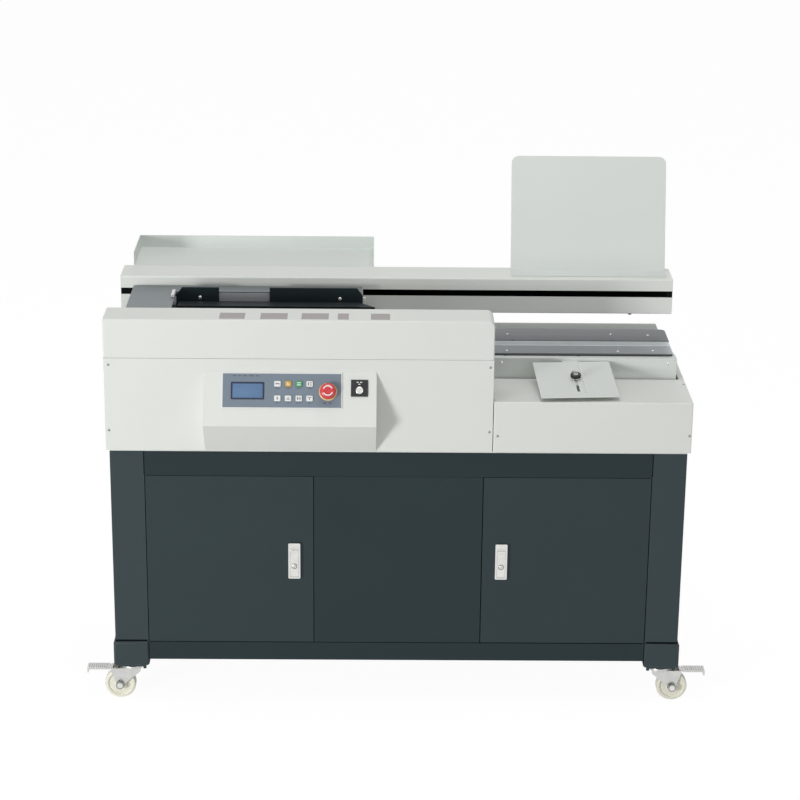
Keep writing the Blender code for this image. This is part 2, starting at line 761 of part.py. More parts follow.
def make_pedal(name, side, pedal_x, y, x):
    knuckle_l = WHEEL_W
    pedal = rod(name + "_pedal", (pedal_x, y, PEDAL_PIVOT_Z), "Y", PEDAL_KNUCKLE_R, knuckle_l,
                steps=PIN_STEPS)
    tip = x + side * PEDAL_TIP_OUT
    top = PEDAL_PIVOT_Z + PEDAL_KNUCKLE_R - GAP
    x0, x1 = sorted((pedal_x, pedal_x + side * PEDAL_KNUCKLE_R * 2.5))
    join(pedal, box(name + "_pedal_neck", (x0, y - knuckle_l / 2 + SINK, top - PEDAL_T),
                    (x1, y + knuckle_l / 2 - SINK, top)))
    x0, x1 = sorted((pedal_x + side * PEDAL_KNUCKLE_R * 2, tip))
    join(pedal, box(name + "_pedal_tread", (x0, y - PEDAL_W / 2, top - PEDAL_T - SINK / 2),
                    (x1, y + PEDAL_W / 2, top + SINK / 2)))
    x0, x1 = sorted((tip - side * PEDAL_T, tip))
    join(pedal, box(name + "_pedal_lip", (x0, y - PEDAL_W / 2, top - PEDAL_LIP),
                    (x1, y + PEDAL_W / 2, top)))
    cut(pedal, rod(name + "_pedal_bore", (pedal_x, y, PEDAL_PIVOT_Z), "Y", PEDAL_PIN_R + GAP,
                   knuckle_l + OVERRUN, steps=PIN_STEPS))
    finish(pedal, ZINC, (pedal_x, y, PEDAL_PIVOT_Z))


def make_castors():
    for side, x_name in ((-1, "left"), (1, "right")):
        for y, y_name in ((BOOT_FRONT_Y, "front"), (BOOT_REAR_Y, "rear")):
            make_castor("castor_%s_%s" % (y_name, x_name), side, y, y_name == "front")


# Casing

def make_deck():
    deck = box("deck_plate", (-HALF_W, 0, DECK_BOTTOM), (HALF_W, CABINET_D, DECK_TOP))
    finish(deck, CREAM)


def box_outline(shift=0):
    """Side outline of the control box: sloping face, front edge, underside."""
    skin = -CASE_FRONT + SHEET / 2 + shift
    return [(skin, BOX_TOP), (-CASE_FRONT + shift, BOX_TOP),
            (-CASE_FRONT - BOX_OUT + shift, BOX_EDGE_Z), (-CASE_FRONT + shift, BOX_FOOT_Z),
            (skin, BOX_FOOT_Z)]


def panel_box(name, x, down, width, height, low, high):
    """A box on the control panel's sloping face, by its distance down the slope."""
    return box(name, (x - width / 2, -down - height / 2, low),
               (x + width / 2, -down + height / 2, high), PANEL)


def make_left_cover():
    back = LID_BACK
    cover = box("left_cover", (-CASE_HALF_W, -CASE_FRONT, CASE_BOTTOM),
                (LEFT_COVER_RIGHT, back, SEAM_Z - SEAM / 2))
    cut(cover, box("left_cover_hollow",
                   (-CASE_HALF_W + SHEET, -CASE_FRONT + SHEET, CASE_BOTTOM - OVERRUN),
                   (LEFT_COVER_RIGHT - SHEET, back + OVERRUN, SEAM_Z + OVERRUN)))
    left = BOX_CENTRE_X - BOX_W / 2
    right = BOX_CENTRE_X + BOX_W / 2
    join(cover, outline("control_box", box_outline(), left, right, "X"))
    cut(cover, outline("control_box_hollow", box_outline(BOX_WALL), left + BOX_WALL,
                       right - BOX_WALL, "X"))
    cut(cover, panel_box("plate_window", PLATE_X, PLATE_DOWN, PLATE_W - 2 * PLATE_RIM,
                         PLATE_H - 2 * PLATE_RIM, -OVERRUN, OVERRUN))
    cut(cover, rod("key_switch_hole", (KEY_X, -KEY_BARREL_DOWN, 0), "Z",
                   KEY_SHANK_R + GAP, OVERRUN * 2, PANEL))
    finish(cover, OFF_WHITE)


def lid_outline(inset):
    left = -CASE_HALF_W + inset
    right = LEFT_COVER_RIGHT - inset
    top = LID_TOP - inset
    low = SEAM_Z + SEAM / 2 - (OVERRUN if inset else 0)
    radius = LID_CORNER_R - inset
    corner = arc((right - radius, top - radius), radius, 0, pi / 2)
    return [(left, low), (right, low), *corner, (left, top)]


def make_lid():
    lid = outline("lid", lid_outline(0), -CASE_FRONT, LID_BACK, "Y")
    cut(lid, outline("lid_hollow", lid_outline(SHEET), -CASE_FRONT + SHEET,
                     LID_BACK + OVERRUN, "Y"))
    finish(lid, OFF_WHITE, (0, -CASE_FRONT, SEAM_Z))


def make_rear_cover():
    front = LID_BACK + RUN
    cover = box("rear_cover", (-CASE_HALF_W, front, CASE_BOTTOM),
                (LEFT_COVER_RIGHT, CASE_BACK, REAR_COVER_TOP))
    cut(cover, box("rear_cover_hollow",
                   (-CASE_HALF_W + SHEET, front - OVERRUN, CASE_BOTTOM - OVERRUN),
                   (LEFT_COVER_RIGHT + OVERRUN, CASE_BACK - SHEET, REAR_COVER_TOP + OVERRUN)))
    finish(cover, OFF_WHITE)


def make_right_cover():
    cover = box("right_cover", (RIGHT_COVER_LEFT, -CASE_FRONT, CASE_BOTTOM),
                (CASE_HALF_W, CASE_BACK, RIGHT_COVER_TOP))
    cut(cover, box("right_cover_hollow",
                   (RIGHT_COVER_LEFT + SHEET, -CASE_FRONT + SHEET, CASE_BOTTOM - OVERRUN),
                   (CASE_HALF_W - SHEET, CASE_BACK - SHEET, RIGHT_COVER_TOP - SHEET)))
    cut(cover, box("nip_well", (RIGHT_COVER_LEFT + SHEET + SINK, NIP_WELL_FRONT,
                                RIGHT_COVER_TOP - OVERRUN),
                   (NIP_WELL_RIGHT, CASE_BACK - SHEET - SINK, RIGHT_COVER_TOP + OVERRUN)))
    finish(cover, OFF_WHITE)


# Controls on the sloping face

def make_control_plate():
    low = GAP
    high = GAP + PLATE_T
    plate = panel_box("control_plate", PLATE_X, PLATE_DOWN, PLATE_W, PLATE_H, low, high)
    cut(plate, panel_box("display_window", DISPLAY_X, DISPLAY_DOWN, DISPLAY_W + 2 * GAP,
                         DISPLAY_H + 2 * GAP, low - OVERRUN, high + OVERRUN))
    holes = []
    for x, down in button_places():
        holes.append(((x - BUTTON_W / 2 - GAP, -down - BUTTON_H / 2 - GAP, low - OVERRUN),
                      (x + BUTTON_W / 2 + GAP, -down + BUTTON_H / 2 + GAP, high + OVERRUN)))
    cut(plate, boxes("button_holes", holes, PANEL))
    cut(plate, rod("estop_hole", (ESTOP_X, -ESTOP_DOWN, 0), "Z", ESTOP_SHANK_R + GAP,
                   OVERRUN * 2, PANEL))
    finish(plate, PANEL_BLUE)
    display = panel_box("display", DISPLAY_X, DISPLAY_DOWN, DISPLAY_W, DISPLAY_H,
                        -DISPLAY_BEHIND, high + DISPLAY_UP)
    finish(display, SCREEN_BLUE)


def button_places():
    return [(BUTTON_FIRST_X + column * BUTTON_PITCH_X, BUTTON_FIRST_DOWN + row * BUTTON_PITCH_DOWN)
            for row in range(BUTTON_ROWS) for column in range(BUTTON_COLUMNS)]


def make_buttons():
    looks = {1: YELLOW, 2: GREEN}
    for number, (x, down) in enumerate(button_places()):
        top = GAP + PLATE_T + BUTTON_UP
        button = panel_box("button_%d" % (number + 1), x, down, BUTTON_W, BUTTON_H,
                           -BUTTON_BEHIND, top)
        bevel(button, BUTTON_BEVEL)
        finish(button, looks.get(number, WHITE), (x, -down, top))


def make_estop():
    top = GAP + PLATE_T
    ring_low = top + GAP
    ring_top = ring_low + ESTOP_RING_T
    bore = ESTOP_STEM_R + GAP
    base = turned("estop_base", [(bore, ring_top), (ESTOP_RING_R, ring_top),
                                 (ESTOP_RING_R, ring_low), (ESTOP_SHANK_R, ring_low),
                                 (ESTOP_SHANK_R, -ESTOP_SHANK_L), (bore, -ESTOP_SHANK_L)],
                  "Z", (ESTOP_X, -ESTOP_DOWN, 0), PANEL, ring=True)
    finish(base, YELLOW)
    low = ESTOP_HEAD_UP
    crown = ESTOP_RIM_UP
    head = turned("estop_head", [(0, crown + ESTOP_HEAD_DOME),
                                 (ESTOP_HEAD_R - ESTOP_HEAD_DOME * 2, crown + ESTOP_HEAD_DOME),
                                 (ESTOP_HEAD_R - ESTOP_HEAD_DOME / 2, crown + ESTOP_HEAD_DOME / 2),
                                 (ESTOP_HEAD_R, crown), (ESTOP_HEAD_R, low),
                                 (ESTOP_STEM_R, low), (ESTOP_STEM_R, -ESTOP_SHANK_L / 2),
                                 (0, -ESTOP_SHANK_L / 2)],
                  "Z", (ESTOP_X, -ESTOP_DOWN, 0), PANEL)
    finish(head, RED, (ESTOP_X, -ESTOP_DOWN, crown))


def make_key_switch():
    plate = panel_box("key_switch", KEY_X, KEY_DOWN, KEY_PLATE_W, KEY_PLATE_W, GAP,
                      GAP + KEY_PLATE_T)
    join(plate, rod("key_shank", (KEY_X, -KEY_BARREL_DOWN, -KEY_SHANK_L / 2 + KEY_PLATE_T / 2),
                    "Z", KEY_SHANK_R, KEY_SHANK_L, PANEL))
    cut(plate, rod("key_bore", (KEY_X, -KEY_BARREL_DOWN, 0), "Z", KEY_BARREL_R + GAP,
                   KEY_SHANK_L * 2 + OVERRUN, PANEL))
    finish(plate, BLACK)
    top = GAP + KEY_PLATE_T + KEY_BARREL_UP
    barrel = rod("key_barrel", (KEY_X, -KEY_BARREL_DOWN, (top - KEY_BARREL_BEHIND) / 2), "Z",
                 KEY_BARREL_R, top + KEY_BARREL_BEHIND, PANEL)
    cut(barrel, box("key_slot", (KEY_X - KEY_SLOT_W / 2, -KEY_BARREL_DOWN - KEY_BARREL_R / 2,
                                 top - KEY_SLOT_D),
                    (KEY_X + KEY_SLOT_W / 2, -KEY_BARREL_DOWN + KEY_BARREL_R / 2,
                     top + OVERRUN), PANEL))
    finish(barrel, CHROME, (KEY_X, -KEY_BARREL_DOWN, top))


# Rear beam

def make_beam():
    beam = box("beam", (BEAM_LEFT, BEAM_FRONT, BEAM_BOTTOM), (BEAM_RIGHT, BEAM_BACK, BEAM_TOP))
    cut(beam, box("beam_hollow",
                  (BEAM_LEFT - OVERRUN, BEAM_FRONT + BEAM_WALL, BEAM_BOTTOM + BEAM_WALL),
                  (BEAM_RIGHT + OVERRUN, BEAM_BACK - BEAM_WALL, BEAM_TOP - BEAM_WALL)))
    cut(beam, box("beam_slot", (BEAM_LEFT - 2 * OVERRUN, BEAM_FRONT - OVERRUN, SLOT_LOW),
                  (BEAM_RIGHT + 2 * OVERRUN, BEAM_FRONT + BEAM_WALL + SINK, SLOT_LOW + SLOT_H)))
    legs = []
    for x in (LEFT_LEG_X, RIGHT_LEG_X):
        legs.append(((x - LEG_W / 2, BEAM_FRONT + LEG_IN, DECK_FOOT),
                     (x + LEG_W / 2, BEAM_FRONT + LEG_IN + LEG_D, BEAM_BOTTOM + BEAM_WALL / 2)))
    join(beam, boxes("beam_legs", legs))
    stud_z = BEAM_BOTTOM - BEAM_STUD_L / 2 + BEAM_WALL / 2
    join(beam, rod("beam_stud", (BEAM_STUD_X, BEAM_FRONT + LEG_IN, stud_z), "Z", BEAM_STUD_R,
                   BEAM_STUD_L + BEAM_WALL / 2, steps=PIN_STEPS))
    finish(beam, OFF_WHITE)


def make_guide_rail():
    low = BEAM_BOTTOM + BEAM_WALL + GAP
    rail = box("guide_rail", (BEAM_LEFT + RAIL_SHORT, RAIL_Y - RAIL_SIZE / 2, low),
               (BEAM_RIGHT - RAIL_SHORT, RAIL_Y + RAIL_SIZE / 2, low + RAIL_SIZE))
    bevel(rail, RAIL_SIZE / 10)
    finish(rail, STEEL)


def make_tray():
    front = BEAM_BACK + GAP
    floor = BEAM_TOP - SHEET
    tray = box("book_tray", (TRAY_LEFT, front, floor), (TRAY_RIGHT, TRAY_BACK, TRAY_WALL_TOP))
    cut(tray, box("book_tray_hollow", (TRAY_LEFT + SHEET, front - OVERRUN, BEAM_TOP),
                  (TRAY_RIGHT - SHEET, TRAY_BACK - SHEET, TRAY_WALL_TOP + OVERRUN)))
    join(tray, box("book_tray_flange", (TRAY_LEFT, front, BEAM_TOP - TRAY_FLANGE_H),
                   (TRAY_RIGHT, front + SHEET, BEAM_TOP - SHEET / 2)))
    finish(tray, CREAM)


def make_rack():
    low = BEAM_TOP + GAP
    right = RACK_LEFT + RACK_W
    rack = box("cover_rack", (RACK_LEFT, RACK_LEDGE_FRONT, low),
               (right, RACK_CREASE, low + RACK_T))
    inner = RACK_L - RACK_CORNER_R
    shape = [(RACK_LEFT, 0), (right, 0),
             *arc((right - RACK_CORNER_R, inner), RACK_CORNER_R, 0, pi / 2),
             *arc((RACK_LEFT + RACK_CORNER_R, inner), RACK_CORNER_R, pi / 2, pi)]
    sheet = outline("rack_sheet", shape, -RACK_T / 2, RACK_T / 2, "Y")
    sheet.location = (0, RACK_CREASE - RACK_T / 2, low)
    sheet.rotation_euler = (-RACK_LEAN, 0, 0)
    join(rack, sheet)
    finish(rack, CREAM)


# Carriage

def make_saddle():
    arm_high = SADDLE_TOP
    arm_low = arm_high - SADDLE_ARM_T
    left = SADDLE_X - SADDLE_L / 2
    right = SADDLE_X + SADDLE_L / 2
    block_front = RAIL_Y - SADDLE_D / 2
    plate_front = TABLE_BACK - SADDLE_PLATE_T
    block_low = BEAM_BOTTOM + BEAM_WALL + SADDLE_FLOOR_GAP
    saddle = box("carriage_saddle", (left, block_front, block_low),
                 (right, RAIL_Y + SADDLE_D / 2, SADDLE_TOP))
    join(saddle, box("saddle_arm", (left, plate_front + SINK, arm_low),
                     (right, block_front + SINK, arm_high - SINK)))
    join(saddle, box("saddle_plate",
                     (CARRIAGE_LEFT + SADDLE_PLATE_END, plate_front, JAW_BOTTOM),
                     (CARRIAGE_RIGHT - SADDLE_PLATE_END, TABLE_BACK, TABLE_BOTTOM - GAP)))
    half = RAIL_SIZE / 2 + GAP
    cut(saddle, box("saddle_groove", (left - OVERRUN, RAIL_Y - half, block_low - OVERRUN),
                    (right + OVERRUN, RAIL_Y + half,
                     BEAM_BOTTOM + BEAM_WALL + GAP + RAIL_SIZE + GAP)))
    finish(saddle, STEEL)


def make_table():
    arm_right = JAW_LEFT - RUN
    strip_front = REAR_JAW_FACE
    shape = [(CARRIAGE_LEFT, TABLE_FRONT), (arm_right, TABLE_FRONT), (arm_right, strip_front),
             (CARRIAGE_RIGHT, strip_front), (CARRIAGE_RIGHT, TABLE_BACK),
             (CARRIAGE_LEFT, TABLE_BACK)]
    table = outline("carriage_table", shape, TABLE_BOTTOM, TABLE_TOP, "Z")
    finish(table, GREY_STEEL)


def rod_places(y):
    return [(JAW_LEFT + CLAMP_ROD_IN, y, CLAMP_ROD_Z), (JAW_RIGHT - CLAMP_ROD_IN, y, CLAMP_ROD_Z)]


def make_jaws():
    jaw_back = TABLE_BACK - SADDLE_PLATE_T - GAP
    rear = box("rear_jaw", (JAW_LEFT, REAR_JAW_FACE, JAW_BOTTOM),
               (JAW_RIGHT, jaw_back, TABLE_BOTTOM - GAP))
    rod_back = REAR_JAW_FACE + PAD_T
    rod_mid = (rod_back + CLAMP_ROD_FRONT) / 2
    join(rear, rods("clamp_rods", rod_places(rod_mid), "Y", CLAMP_ROD_R,
                    rod_back - CLAMP_ROD_FRONT))
    finish(rear, STEEL)
    notch = [(PAD_NOTCH_RIGHT, PAD_TOP), (PAD_NOTCH_RIGHT, PAD_NOTCH_LOW),
             (PAD_NOTCH_LEFT, PAD_NOTCH_LOW), (PAD_NOTCH_LEFT, PAD_TOP)]
    shape = [(JAW_LEFT, PAD_BOTTOM), (JAW_RIGHT, PAD_BOTTOM),
             (JAW_RIGHT, PAD_TOP - PAD_CHAMFER_Z), (JAW_RIGHT - PAD_CHAMFER_X, PAD_TOP), *notch,
             (JAW_LEFT + PAD_CHAMFER_X, PAD_TOP), (JAW_LEFT, PAD_TOP - PAD_CHAMFER_Z)]
    pad_back = REAR_JAW_FACE - GAP
    pad = outline("jaw_pad", shape, pad_back - PAD_T, pad_back, "Y")
    cut(pad, rods("pad_rod_holes", rod_places(REAR_JAW_FACE), "Y", CLAMP_ROD_R + GAP,
                  4 * OVERRUN))
    finish(pad, BLACK)
    front_y = FRONT_JAW_BACK - FRONT_JAW_T
    right = JAW_RIGHT - FRONT_JAW_END_GAP
    front = box("front_jaw", (JAW_LEFT + FRONT_JAW_END_GAP, front_y, JAW_BOTTOM),
                (right, FRONT_JAW_BACK, FRONT_JAW_TOP))
    flare = [(right - FLARE_T, front_y + SINK), (right + FRONT_JAW_FLARE, front_y + SINK),
             (right + SINK, FRONT_JAW_BACK - SINK), (right - FLARE_T, FRONT_JAW_BACK - SINK)]
    join(front, outline("front_jaw_flare", flare, FRONT_JAW_TOP - FLARE_T,
                        FRONT_JAW_TOP - SINK, "Z"))
    cut(front, rods("front_jaw_bores", rod_places((front_y + FRONT_JAW_BACK) / 2), "Y",
                    CLAMP_ROD_R + GAP, FRONT_JAW_T + 2 * OVERRUN))
    finish(front, BLACK, (SADDLE_X, (front_y + FRONT_JAW_BACK) / 2, CLAMP_ROD_Z))


def make_gearbox():
    left = CARRIAGE_LEFT + GEARBOX_FROM_LEFT
    gearbox = box("clamp_gearbox", (left, GEARBOX_FRONT, JAW_BOTTOM),
                  (left + GEARBOX_W, GEARBOX_FRONT + GEARBOX_D, TABLE_BOTTOM - GAP))
    bevel(gearbox, GEARBOX_BEVEL)
    finish(gearbox, GREY_STEEL)


# Milling and gluing

def make_mill():
    motor = turned("milling_motor", [(0, MILL_MOTOR_TOP),
                                     (MILL_MOTOR_R - BOOT_BEVEL, MILL_MOTOR_TOP),
                                     (MILL_MOTOR_R, MILL_MOTOR_TOP - BOOT_BEVEL),
                                     (MILL_MOTOR_R, DECK_FOOT), (0, DECK_FOOT)],
                   "Z", (MILL_X, WORK_LINE, 0))
    shaft_low = MILL_MOTOR_TOP - CUTTER_SHAFT_IN
    cut(motor, rod("motor_bore", (MILL_X, WORK_LINE, MILL_MOTOR_TOP), "Z", CUTTER_SHAFT_R + GAP,
                   2 * (CUTTER_SHAFT_IN + RUN)))
    finish(motor, GREY_STEEL)
    disc_low = CUTTER_TOP - CUTTER_T
    cutter = turned("milling_cutter", [(0, CUTTER_TOP), (CUTTER_R, CUTTER_TOP),
                                       (CUTTER_R, disc_low), (CUTTER_SHAFT_R, disc_low),
                                       (CUTTER_SHAFT_R, shaft_low), (0, shaft_low)],
                    "Z", (MILL_X, WORK_LINE, 0), steps=DRUM_STEPS)
    notches = bmesh.new()
    for i in range(CUTTER_TEETH):
        turn = Matrix.Rotation(2 * pi * i / CUTTER_TEETH, 4, "Z")
        place = Matrix.Translation((MILL_X, WORK_LINE, CUTTER_TOP)) @ turn
        reach = Matrix.Translation((CUTTER_R, 0, 0))
        size = Matrix.Diagonal((CUTTER_TOOTH_W * 2, CUTTER_TOOTH_W, CUTTER_TOOTH_D * 2, 1))
        bmesh.ops.create_cube(notches, size=1, matrix=place @ reach @ size)
    cut(cutter, new_object("cutter_notches", notches))
    finish(cutter, STEEL, (MILL_X, WORK_LINE, CUTTER_TOP))


def make_glue_tank():
    right = TANK_LEFT + TANK_W
    back = TANK_FRONT + TANK_D
    tank = box("glue_tank", (TANK_LEFT, TANK_FRONT, TANK_BOTTOM), (right, back, TANK_TOP))
    cut(tank, box("tank_hollow",
                  (TANK_LEFT + TANK_WALL, TANK_FRONT + TANK_WALL, TANK_BOTTOM + TANK_WALL),
                  (right - TANK_WALL, back - TANK_WALL, TANK_TOP + OVERRUN)))
    centre_x = TANK_LEFT + TANK_W / 2
    centre_y = TANK_FRONT + TANK_D / 2
    join(tank, box("tank_pedestal", (centre_x - PEDESTAL_W / 2, centre_y - PEDESTAL_D / 2,
                                     DECK_FOOT),
                   (centre_x + PEDESTAL_W / 2, centre_y + PEDESTAL_D / 2,
                    TANK_BOTTOM + TANK_WALL / 2)))
    places = [(centre_x + end * ROLLER_OFF, centre_y, ROLLER_Z) for end in (-1, 1)]
    cut(tank, rods("roller_shaft_holes", places, "Y", ROLLER_SHAFT_R + GAP,
                   TANK_D + 2 * OVERRUN, steps=SHAFT_STEPS))
    finish(tank, GREY_STEEL)
    roller_l = TANK_D - 2 * (TANK_WALL + ROLLER_END_GAP)
    for name, place in zip(("glue_roller_first", "glue_roller_second"), places):
        roller = rod(name, place, "Y", ROLLER_R, roller_l, steps=DRUM_STEPS)
        join(roller, rod(name + "_shaft", place, "Y", ROLLER_SHAFT_R,
                         TANK_D + 2 * ROLLER_SHAFT_OUT, steps=SHAFT_STEPS))
        finish(roller, STEEL, place)


# Nip table

def make_nip_table():
    shape = [(NIP_LEFT, NIP_FRONT), (NIP_RIGHT, NIP_FRONT), (NIP_RIGHT, FRONT_NIP_FRONT),
             (NIP_REAR_RIGHT, NIP_REAR_STEP), (NIP_REAR_RIGHT, NIP_BACK), (NIP_LEFT, NIP_BACK)]
    table = outline("nip_table", shape, NIP_TOP - NIP_TOP_T, NIP_TOP, "Z")
    join(table, box("nip_skirt", (NIP_LEFT, NIP_FRONT, NIP_SKIRT_BOTTOM),
                    (NIP_RIGHT, NIP_FRONT + NIP_SKIRT_T, NIP_TOP - NIP_TOP_T / 2)))
    rod_top = NIP_TOP - NIP_TOP_T / 2
    places = [(x, LIFT_ROD_Y, (rod_top + LIFT_ROD_BOTTOM) / 2)
              for x in (LIFT_ROD_LEFT_X, LIFT_ROD_RIGHT_X)]
    join(table, rods("lift_rods", places, "Z", LIFT_ROD_R, rod_top - LIFT_ROD_BOTTOM,
                     steps=SHAFT_STEPS))
    bracket_top = -GUIDE_T - GAP
    join(table, box("guide_bracket", (-BRACKET_W / 2, -BRACKET_L, bracket_top - BRACKET_T),
                    (BRACKET_W / 2, BRACKET_REACH, bracket_top), GUIDE))
    stud_top = KNOB_H * KNOB_STUD_SHARE
    stud_low = bracket_top - BRACKET_T / 2
    join(table, rod("guide_stud", (0, -KNOB_BACK, (stud_top + stud_low) / 2), "Z", KNOB_STUD_R,
                    stud_top - stud_low, GUIDE, steps=PIN_STEPS))
    finish(table, CREAM, (LIFT_ROD_LEFT_X, LIFT_ROD_Y, NIP_TOP))
    base_x = (LIFT_ROD_LEFT_X + LIFT_ROD_RIGHT_X) / 2
    base = box("lift_base", (base_x - LIFT_BASE_W / 2, LIFT_ROD_Y - LIFT_BASE_D / 2, DECK_FOOT),
               (base_x + LIFT_BASE_W / 2, LIFT_ROD_Y + LIFT_BASE_D / 2, LIFT_BASE_TOP))
    holes = [(x, LIFT_ROD_Y, LIFT_BASE_TOP) for x in (LIFT_ROD_LEFT_X, LIFT_ROD_RIGHT_X)]
    cut(base, rods("lift_sockets", holes, "Z", LIFT_ROD_R + GAP,
                   2 * (LIFT_BASE_TOP - LIFT_ROD_BOTTOM + RUN), steps=SHAFT_STEPS))
    finish(base, GREY_STEEL)


def make_nip_plates():
    low = NIP_TOP + GAP
    high = low + NIP_PLATE_T
    front_back = WORK_LINE - NIP_GAP / 2
    radius = NIP_CORNER_R
    shape = [(NIP_LEFT, FRONT_NIP_FRONT),
             *arc((FRONT_NIP_RIGHT - radius, FRONT_NIP_FRONT + radius), radius, -pi / 2, 0),
             (FRONT_NIP_RIGHT, front_back), (NIP_LEFT, front_back)]
    front = outline("front_nip_plate", shape, low, high, "Z")
    cut(front, box("front_nip_step",
                   (NIP_LEFT - OVERRUN, FRONT_NIP_FRONT - OVERRUN, low + FRONT_NIP_LOW_T),
                   (FRONT_NIP_RIGHT + OVERRUN, FRONT_NIP_STEP, high + OVERRUN)))
    finish(front, STEEL, (NIP_LEFT, front_back, low))
    rear_front = WORK_LINE + NIP_GAP / 2
    shape = [(NIP_LEFT, rear_front), (REAR_NIP_RIGHT, rear_front),
             *arc((REAR_NIP_RIGHT - radius, NIP_REAR_STEP - radius), radius, 0, pi / 2),
             (NIP_LEFT, NIP_REAR_STEP)]
    rear = outline("rear_nip_plate", shape, low, high, "Z")
    finish(rear, GREY_STEEL)


def make_cover_guide():
    plate = box("guide_plate", (-GUIDE_W / 2, -GUIDE_L - GUIDE_BACK_GAP, -GUIDE_T),
                (GUIDE_W / 2, -GUIDE_BACK_GAP, 0), GUIDE)
    cut(plate, box("guide_slot",
                   (-GUIDE_SLOT_W / 2, -GUIDE_SLOT_BACK - GUIDE_SLOT_L, -GUIDE_T - OVERRUN),
                   (GUIDE_SLOT_W / 2, -GUIDE_SLOT_BACK, OVERRUN), GUIDE))
    finish(plate, CREAM, (0, -KNOB_BACK, 0))
    bore = KNOB_STUD_R + GAP
    foot_top = GAP + KNOB_FOOT_H
    top = GAP + KNOB_H
    knob = turned("guide_knob", [(bore, top), (KNOB_R - KNOB_RIM, top), (KNOB_R, top - KNOB_RIM),
                                 (KNOB_R, foot_top + KNOB_RIM), (KNOB_FOOT_R, foot_top),
                                 (KNOB_FOOT_R, GAP), (bore, GAP)],
                  "Z", (0, -KNOB_BACK, 0), GUIDE, ring=True)
    finish(knob, BLACK, (0, -KNOB_BACK, GAP))


def make_inlet():
    face = CASE_BACK + GAP
    inlet = box("power_inlet", (INLET_X - INLET_W / 2, face, INLET_Z - INLET_H / 2),
                (INLET_X + INLET_W / 2, face + INLET_D, INLET_Z + INLET_H / 2))
    cut(inlet, box("inlet_socket",
                   (INLET_X - INLET_W / 2 + INLET_WALL, face + INLET_WALL,
                    INLET_Z - INLET_H / 2 + INLET_WALL),
                   (INLET_X + INLET_W / 2 - INLET_WALL, face + INLET_D + OVERRUN,
                    INLET_Z + INLET_H / 2 - INLET_WALL)))
    finish(inlet, BLACK)


make_cabinet_body()
make_doors()
make_centre_and_back()
make_castors()
make_deck()
make_left_cover()
make_lid()
make_rear_cover()
make_right_cover()
make_control_plate()
make_buttons()
make_estop()
make_key_switch()
make_beam()
make_guide_rail()
make_tray()
make_rack()
make_saddle()
make_table()
make_jaws()
make_gearbox()
make_mill()
make_glue_tank()
make_nip_table()
make_nip_plates()
make_cover_guide()
make_inlet()
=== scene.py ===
import json
from math import atan2, cos, pi, radians, sin

import bmesh
import bpy
from mathutils import Euler, Matrix, Vector


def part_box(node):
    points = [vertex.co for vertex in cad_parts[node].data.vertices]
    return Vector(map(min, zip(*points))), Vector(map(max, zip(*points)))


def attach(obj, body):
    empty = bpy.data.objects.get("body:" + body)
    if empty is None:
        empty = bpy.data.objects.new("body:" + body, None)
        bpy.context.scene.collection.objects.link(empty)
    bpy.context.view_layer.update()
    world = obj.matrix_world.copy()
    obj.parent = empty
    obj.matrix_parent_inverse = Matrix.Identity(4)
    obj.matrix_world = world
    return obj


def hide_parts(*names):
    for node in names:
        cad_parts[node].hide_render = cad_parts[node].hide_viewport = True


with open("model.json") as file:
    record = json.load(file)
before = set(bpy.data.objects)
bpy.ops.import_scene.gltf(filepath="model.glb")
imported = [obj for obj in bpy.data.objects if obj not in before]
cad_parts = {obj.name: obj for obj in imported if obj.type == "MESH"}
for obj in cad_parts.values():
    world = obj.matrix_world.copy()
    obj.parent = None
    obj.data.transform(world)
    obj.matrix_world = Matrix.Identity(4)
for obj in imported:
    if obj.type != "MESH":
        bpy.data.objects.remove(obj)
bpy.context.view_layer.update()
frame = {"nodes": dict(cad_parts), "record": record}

WELD = 0.00002
FLAT = radians(0.5)
CREASE = radians(35)
SINK = 0.0002
BODY_OF = {node: body for body, nodes in frame["record"]["behaviour"]["bodies"].items() for node in nodes}


# Camera

CAMERA_AT = Vector((-0.068, -5.369, 2.500))
CAMERA_LENS = 103.53
CAMERA_SENSOR = 36.0
CAMERA_DOWN = radians(18.72)
CAMERA_YAW = radians(0.78)
CAMERA_ROLL = radians(-0.61)


def make_camera():
    level = cos(CAMERA_DOWN)
    ahead = Vector((sin(CAMERA_YAW) * level, cos(CAMERA_YAW) * level, -sin(CAMERA_DOWN)))
    right = Vector((cos(CAMERA_YAW), -sin(CAMERA_YAW), 0))
    below = ahead.cross(right)
    across = cos(CAMERA_ROLL) * right + sin(CAMERA_ROLL) * below
    under = cos(CAMERA_ROLL) * below - sin(CAMERA_ROLL) * right
    data = bpy.data.cameras.new("view")
    data.lens = CAMERA_LENS
    data.sensor_width = CAMERA_SENSOR
    data.clip_end = 100
    view = bpy.data.objects.new("view", data)
    turn = Matrix((across, -under, -ahead)).transposed()
    view.matrix_world = Matrix.Translation(CAMERA_AT) @ turn.to_4x4()
    bpy.context.scene.collection.objects.link(view)
    bpy.context.scene.camera = view


# Finishes

class Wire:
    """A node's output that can stand in a sum: each operator adds its Math node."""

    def __init__(self, nodes, socket):
        self.nodes = nodes
        self.socket = socket

    def sum(self, operation, other):
        return self.nodes.node("ShaderNodeMath", {"operation": operation}, {0: self, 1: other})

    def __add__(self, other):
        return self.sum("ADD", other)

    def __mul__(self, other):
        return self.sum("MULTIPLY", other)

    def __gt__(self, other):
        return self.sum("GREATER_THAN", other)


